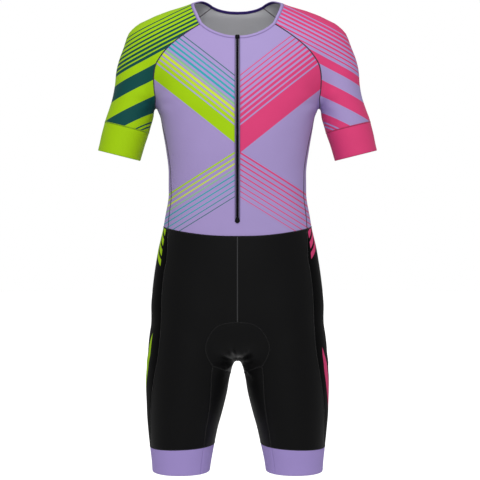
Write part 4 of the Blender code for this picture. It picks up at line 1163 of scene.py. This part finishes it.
COOL_STOPS = [(0.0, LIME), (0.30, YELLOW), (0.45, CYAN), (0.75, CYAN), (1.0, TEAL)]
CHEVRON_RISE, CHEVRON_Z = 0.80, -0.252  # slope of the upper chevron's arms, and its point on the zip
TAIL_FALL, TAIL_Z = 0.62, -0.262  # slope of the lower lines, and where they leave the zip
FINE_LINES = 0.014, 0.0085, 9, 0.0030, 0.0012  # a bundle's start, pitch, number, thickest and thinnest line
BOLD_LINES = 0.010, 0.0082, 9, 0.0062, 0.0014
LIME_BAND, PINK_BAND = (-0.016, 0.0085), (-0.030, 0.0085)
SLEEVE_SLOPE = 0.50
SLEEVE_BANDS = (-0.064, -0.040), (-0.116, -0.090), (-0.1315, -0.1290), (-0.1375, -0.1350)
SLEEVE_LINES = -0.026, 0.0075, 8, 0.0056, 0.0018
TAPE_BARE = 0.0021  # half the width of the tape that stays black


def body_print(paint):
    """Straight chevrons: bold lines that rise from the zip, fine ones that fall from it."""
    across = abs(paint.x)
    rise = (paint.z - CHEVRON_Z - across * CHEVRON_RISE) / math.hypot(1, CHEVRON_RISE)
    fall = (across * -TAIL_FALL + TAIL_Z - paint.z) / math.hypot(1, TAIL_FALL)
    right, left = paint.x.under(0.0), paint.x.over(0.0)
    for way, numbers in ((fall, FINE_LINES), (rise, BOLD_LINES)):
        lines, along = paint.bundle(way, *numbers)
        paint.over(lines * right, paint.graded(along, COOL_STOPS))
        paint.over(lines * left, PINK)
    paint.over(rise.within(*LIME_BAND) * right, LIME)
    paint.over(rise.within(*PINK_BAND) * left, PINK)


def sleeve_print(band):
    """Straight bands across the sleeve: wide and narrow ones below, a bundle of lines toward the neck."""

    def draw(paint):
        along = (paint.z + abs(paint.x) * SLEEVE_SLOPE) / math.hypot(1, SLEEVE_SLOPE)
        for low, high in SLEEVE_BANDS:
            paint.over(along.within(low, high), band)
        paint.over(paint.bundle(along, *SLEEVE_LINES)[0], band)

    return draw


def tape_edges(paint):
    """The zip's tape is painted beside its coil in the darkened lavender of the rolled cloth edges, a
    painted shade.
    """
    paint.over(abs(paint.x).over(TAPE_BARE), SHADED_ZIP_EDGE)


HIP_BAR_BACK = 0.030
HIP_BAR_PITCH, HIP_BAR_SHARE = 0.0172, 0.64
HIP_BAR_SLANT = 0.65
HIP_BAR_STEP = 0.009  # how much further forward the lowest bar reaches than the highest
BLADE_TOP_SLOPE, BLADE_TOP_BEND = -1.45, -5.0
BLADE_BOTTOM_CURVE = -0.59  # times the square root of the way behind the blade's tip


def side_print(colour, first_z, front, count, tip_y, tip_z):
    """Slanted bars on the hip, starting from y = front, and one long blade on the outer thigh."""

    def draw(paint):
        level = (paint.y * HIP_BAR_SLANT - paint.z + first_z) / HIP_BAR_PITCH
        bar = level.apply("FRACT").under(HIP_BAR_SHARE, 0.03) * level.within(0.0, float(count))
        inner = paint.y + (level / count).clamped() * HIP_BAR_STEP
        paint.over(bar * inner.over(front) * paint.y.under(HIP_BAR_BACK), colour)
        behind, below_tip = paint.y - tip_y, paint.z - tip_z
        top = behind * BLADE_TOP_SLOPE + behind * behind * BLADE_TOP_BEND
        bottom = behind.apply("SQRT") * BLADE_BOTTOM_CURVE
        blade = (below_tip - top).under(0.0) * (below_tip - bottom).over(0.0) * behind.over(0.0)
        paint.over(blade, colour)

    return draw


# ---------------------------------------------------------------- camera, floor and lights

PIXEL = 0.0019  # metres of the suit that one pixel of the photograph shows
IMAGE = 480
CAMERA_Y = -2.8
EYE_Z, AIM_Z = -0.356, -0.4493
TO_THE_RIGHT = 2.5 * PIXEL  # the suit stands this far left of the photograph's middle
SENSOR, FARTHEST = 36.0, 60.0  # the sensor's width in millimetres, and the end of the view in metres
FLOOR_Z, FLOOR_RADIUS, FLOOR_CORNERS = -1.50, 14.0, 96
FLOOR_GLOW = 0.9  # only to the camera
SKY_TO_SUIT, SKY_TO_CAMERA = 0.44, 1.0
LIT_TARGET = Vector((0.0, 0.0, -0.30))
# name, place, width in metres, watts
LIGHTS = [
    ("key", (0.0, -1.2, 0.6), 0.6, 8.3),
    ("low_fill", (0.0, -2.6, -0.8), 1.2, 3.0),
    ("back_fill", (0.0, 2.6, 0.1), 1.2, 9.0),
]


def place_looking(name, data, place, along):
    """A camera or lamp at a place, looking along a direction."""
    obj = bpy.data.objects.new(name, data)
    obj.location = place
    obj.rotation_euler = Vector(along).to_track_quat("-Z", "Y").to_euler()
    bpy.context.scene.collection.objects.link(obj)
    return obj


def make_camera():
    data = bpy.data.cameras.new("view")
    data.sensor_width = SENSOR
    data.lens = SENSOR * (-CAMERA_Y / PIXEL) / IMAGE
    data.clip_end = FARTHEST
    place = (TO_THE_RIGHT, CAMERA_Y, EYE_Z)
    bpy.context.scene.camera = place_looking("view", data, place, (0.0, -CAMERA_Y, AIM_Z - EYE_Z))


def make_floor():
    """A wide pale floor below the suit, white to the camera."""
    mesh = bpy.data.meshes.new("floor")
    turns = [2 * math.pi * k / FLOOR_CORNERS for k in range(FLOOR_CORNERS)]
    rim = [(FLOOR_RADIUS * math.cos(t), FLOOR_RADIUS * math.sin(t), FLOOR_Z) for t in turns]
    mesh.from_pydata(rim, [], [list(range(FLOOR_CORNERS))])
    floor = bpy.data.objects.new("floor", mesh)
    bpy.context.scene.collection.objects.link(floor)
    paint = Paint("pale_floor", (0.93, 0.93, 0.93), Roughness=0.9, Emission_Color=(1.0, 1.0, 1.0, 1.0))
    paint.over(paint.noise(1.5) * 0.04, (0.85, 0.85, 0.86))
    paint.feed(paint.colour, paint.shader.inputs["Base Color"])
    seen = Num(paint.tree, paint.add("ShaderNodeLightPath").outputs["Is Camera Ray"])
    paint.feed(seen * FLOOR_GLOW, paint.shader.inputs["Emission Strength"])
    mesh.materials.append(paint.material)


def make_studio():
    """A sky that is white to the camera and paler to the suit, and large soft lights."""
    world = bpy.data.worlds.new("studio")
    world.use_nodes = True
    nodes, links = world.node_tree.nodes, world.node_tree.links
    nodes.clear()
    choose = nodes.new("ShaderNodeMixShader")
    links.new(nodes.new("ShaderNodeLightPath").outputs["Is Camera Ray"], choose.inputs[0])
    for slot, strength in ((1, SKY_TO_SUIT), (2, SKY_TO_CAMERA)):
        sky = nodes.new("ShaderNodeBackground")
        sky.inputs["Strength"].default_value = strength
        sky.inputs["Color"].default_value = (1.0, 1.0, 1.0, 1.0)
        links.new(sky.outputs[0], choose.inputs[slot])
    links.new(choose.outputs[0], nodes.new("ShaderNodeOutputWorld").inputs[0])
    bpy.context.scene.world = world
    bpy.context.scene.view_settings.view_transform = "Standard"
    for name, place, width, watts in LIGHTS:
        data = bpy.data.lights.new(name, "AREA")
        data.shape, data.size, data.energy = "DISK", width, watts
        place_looking(name, data, place, LIT_TARGET - Vector(place))


# ---------------------------------------------------------------- dressing the suit

INSIDE = fabric("inside_of_print", UNDYED, roughness=0.8, sheen=0.1)
BODY = fabric("body_print", LAVENDER, body_print)
BINDING = fabric("binding_knit", LAVENDER, rib=0.0008)
BINDING_INSIDE = fabric("binding_inside", NAVY, rib=0.0008)
BAND_KNIT = fabric("band_knit", BAND_LAVENDER)
BLACK_KNIT = fabric("black_knit", BLACK, roughness=0.50, rib=0.0008, depth=0.00006)
PAD_COVER = fabric("pad_cover", BLACK, roughness=0.42, sheen=0.16, rib=0.0009)
TAPE = fabric("zip_tape_weave", TAPE_BLACK, tape_edges, roughness=0.6, rib=0.0006, depth=0.0002)
# The edging strips take the darkened lavender, painted shade of the rolled edges beside the zip.
EDGING = fabric("zip_edging", SHADED_ZIP_EDGE, rib=0.0006)
SEAM_CLOTH = {tone: fabric(f"{tone}_seam", colour, rib=0.0006) for tone, colour in SEAM_TONES.items()}
INNER_SEAM = fabric("inner_seam", INNER_TONE, rib=0.0006)
THREADS = {tone: thread(f"{tone}_thread", colour) for tone, colour in SEAM_TONES.items()}
METAL = coated_metal("lacquered_metal", LACQUER)
COIL = coated_metal("zip_coil", COIL_LACQUER)

# For each side: its way along x, the sleeve's dye and tone, the sleeve's bands, then what side_print needs.
SIDES = {
    "left": (1, PINK, "pink", LAVENDER, (-0.4003, -0.0490, 3, -0.053, -0.648)),
    "right": (-1, LIME, "lime", TEAL, (-0.4008, -0.0425, 4, -0.0455, -0.622)),
}
COIL_PITCH, COIL_REACH, COIL_THICK = 0.0014, 0.0011, 0.00052
COIL_RISE, COIL_OFF = 0.0003, 0.72 * COIL_REACH  # how high the turns lie, and how far from the zip's middle
# Where the coil and its edging start above the neck's edge and end below the slot's bottom.
COIL_ENDS, EDGING_ENDS = (-0.004, -0.002), (0.002, 0.004)
EDGING_OFF, EDGING_HALF, EDGING_RISE = 0.0009, 0.0010, 0.0005  # EDGING_OFF: from the slot's edge
EDGING_STITCH_OFF = 0.0012


def cloth(name, grid, wall, materials, slot="lavender_knit", node=None, **cut):
    """A panel's sheet, in the place of the solid with the same name or of another node."""
    obj = shell(f"{name}_cloth", grid, wall, materials, **cut)
    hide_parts(node or name)
    return obj


def sewn(name, line, tone="print", closed=False):
    """A seam's ribbon and its stitches."""
    made = [
        ribbon(f"seam_{name}", line, SEAM_CLOTH[tone], closed=closed),
        stitches(f"stitches_{name}", line, THREADS[tone], closed=closed),
    ]
    for obj in made:
        "black_knit" if tone in ("black", "grey") else "lavender_knit"
    return made


def both_sides(half):
    """A line of the left side, carried on by its mirror image."""
    return chain(half, mirrored(half[::-1]))


def down_zip(x, above, below):
    return facing(x, np.linspace(NECK_FRONT_Z + above, SLOT_BOTTOM_Z - below, 60))


def zip_details():
    """The coil's turns, the edging strips beside it and their stitches."""
    line = resampled(down_zip(0.0, *COIL_ENDS), COIL_PITCH)
    ahead, side, normal = frame_along(line)
    base = line + (folds(line) + COIL_RISE)[:, None] * normal
    turns = [
        (base + shift * COIL_PITCH * ahead + sign * COIL_OFF * side, side, normal)
        for sign, shift in ((1, 0.0), (-1, 0.5))
    ]
    middle, along, normal = map(np.concatenate, zip(*turns))
    coil = spindles("zip_coil", middle, along, normal, COIL_REACH, COIL_THICK, COIL, sides=6)
    pieces = [coil]
    for name, (sign, *_) in SIDES.items():
        line = down_zip(sign * (SLOT_HALF + EDGING_OFF), *EDGING_ENDS)
        strip = ribbon(f"zip_edging_{name}", line, EDGING, half=EDGING_HALF, rise=EDGING_RISE)
        line = down_zip(sign * (SLOT_HALF + EDGING_STITCH_OFF), *EDGING_ENDS)
        offsets = (0.0, 0.0)  # the same row twice
        row = stitches(f"stitches_zip_{name}", line, THREADS["lavender"], offsets, EDGING_RISE, cross=False)
        for obj in (strip, row):
            pieces.append(obj)
    return pieces


def dress_side(name, panels, at, centre_seams):
    """One side's sleeve and shorts. Returns its seams that belong to the front and to the back."""
    way, knit, tone, band, bars = SIDES[name]
    printed = fabric(f"sleeve_print_{name}", knit, sleeve_print(band))
    plain = fabric(f"cuff_knit_{name}", knit, rib=0.0009)
    # The side panels take the darker black, a painted shade of the flanks, under their printed bars.
    barred = fabric(
        f"side_print_{name}", SHADED_SIDE_BLACK, side_print(knit, *bars), roughness=0.75, sheen=0.05,
        rib=0.0008, depth=0.00006, gloss=0.02,
    )
    flip = np.array([way, 1.0, 1.0])

    def panel(part, wall, materials, slot):
        return cloth(f"{part}_{name}", panels[part] * flip, wall, materials, slot)

    def sew(part, line, tone="print", closed=False):
        return sewn(f"{part}_{name}", line * flip, tone, closed)

    sleeve = panel("sleeve", WALL, [printed, INSIDE], f"{tone}_knit")
    declare(sleeve, sew("underarm", panels["sleeve"][RAGLAN:, 0], tone))
    cuff = panel("cuff", BAND_WALL, [plain, INSIDE], f"{tone}_knit")
    declare(cuff, sew("cuff", panels["cuff"][0], tone, closed=True))
    front_seams = sew("raglan_front", at["front_raglan"]) + sew("side", at["side"])
    back_seams = sew("raglan_back", at["back_raglan"])
    inner = ribbon(f"inner_seam_{name}", at["back_raglan"] * flip, INNER_SEAM, inside=True)
    inner_legs = {f"inner_{end}": at[f"{end}_inner"][GUSSET_END:] for end in ("front", "back")}
    for part, outside, seams in (
        ("shorts_front", BLACK_KNIT, {"outer_front": at["outer"]}),
        ("shorts_side", barred, {"outer_back": at["outer_back"]}),
        ("shorts_back", BLACK_KNIT, {}),
        ("inner_leg", BLACK_KNIT, inner_legs),
    ):
        obj = panel(part, WALL, [outside, BLACK_KNIT], "black_knit")
        made = [sew(seam_name, line, "black") for seam_name, line in seams.items()]
        declare(obj, sum(made, []) + centre_seams.get(part, []))
    leg_band = panel("leg_band", BAND_WALL, [BAND_KNIT, INSIDE], "lavender_knit")
    declare(leg_band, sew("leg_band", panels["leg_band"][0], "black", closed=True))
    return front_seams, [*back_seams, inner]


def dress():
    panels, at = make_panels()
    middle = FRONT + 1  # the middle column, after the rolled edge has added one
    slot_cells = (slice(SLOT + 1, None), slice(middle - SLOT, middle + SLOT))
    grid = both_halves(panels["front"])
    front = cloth("front", grid, WALL, [BODY, INSIDE], zero=middle, removed=slot_cells)
    grid = both_halves(panels["back"][:, ::-1])
    back = cloth("back", grid, WALL, [BODY, INSIDE], zero=SIDE + BACK + 1)
    half = panels["binding"]
    grid = np.concatenate([half, mirrored(half[:, ::-1])[:, 1:]], axis=1)
    neck = cloth("neck_binding", grid, BINDING_WALL, [BINDING, BINDING_INSIDE])
    tape = cloth("zip_tape", both_halves(panels["zip"]), WALL, [TAPE], "zip_tape")
    grid, knits = both_halves(panels["gusset"]), [PAD_COVER, BLACK_KNIT]
    gusset = cloth("gusset", grid, pad_depth, knits, "pad_cover", "crotch_gusset", zero=ARC + 1)

    front_pieces = [tape, *zip_details(), *sewn("neck", both_sides(half[0]), "lavender")]
    waist = both_sides(chain(at["waist_front"], at["waist_side"], at["waist_back"]))
    front_pieces += sewn("waist", waist, "black", closed=True)
    arcs = [at[name][CENTRE : CENTRE + ARC + 1] for name in ("front_inner", "back_inner")]
    gusset_line = both_sides(chain(arcs[0], at["gusset"], arcs[1][::-1]))
    gusset_pieces = sewn("gusset", gusset_line, "black", closed=True)
    centre_seams = {
        f"shorts_{end}": sewn(f"shorts_centre_{end}", at[f"{end}_inner"][: CENTRE + 1], "grey")
        for end in ("front", "back")
    }
    left_front, left_back = dress_side("left", panels, at, centre_seams)
    right_front, right_back = dress_side("right", panels, at, {})
    declare(front, [*front_pieces, *left_front, *right_front, neck, *gusset_pieces])
    declare(back, left_back + right_back)
    for node in ("zip_slider", "zip_pull", "zip_bottom_stop"):
        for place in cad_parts[node].material_slots:
            place.material = METAL


make_camera()
make_floor()
make_studio()
dress()
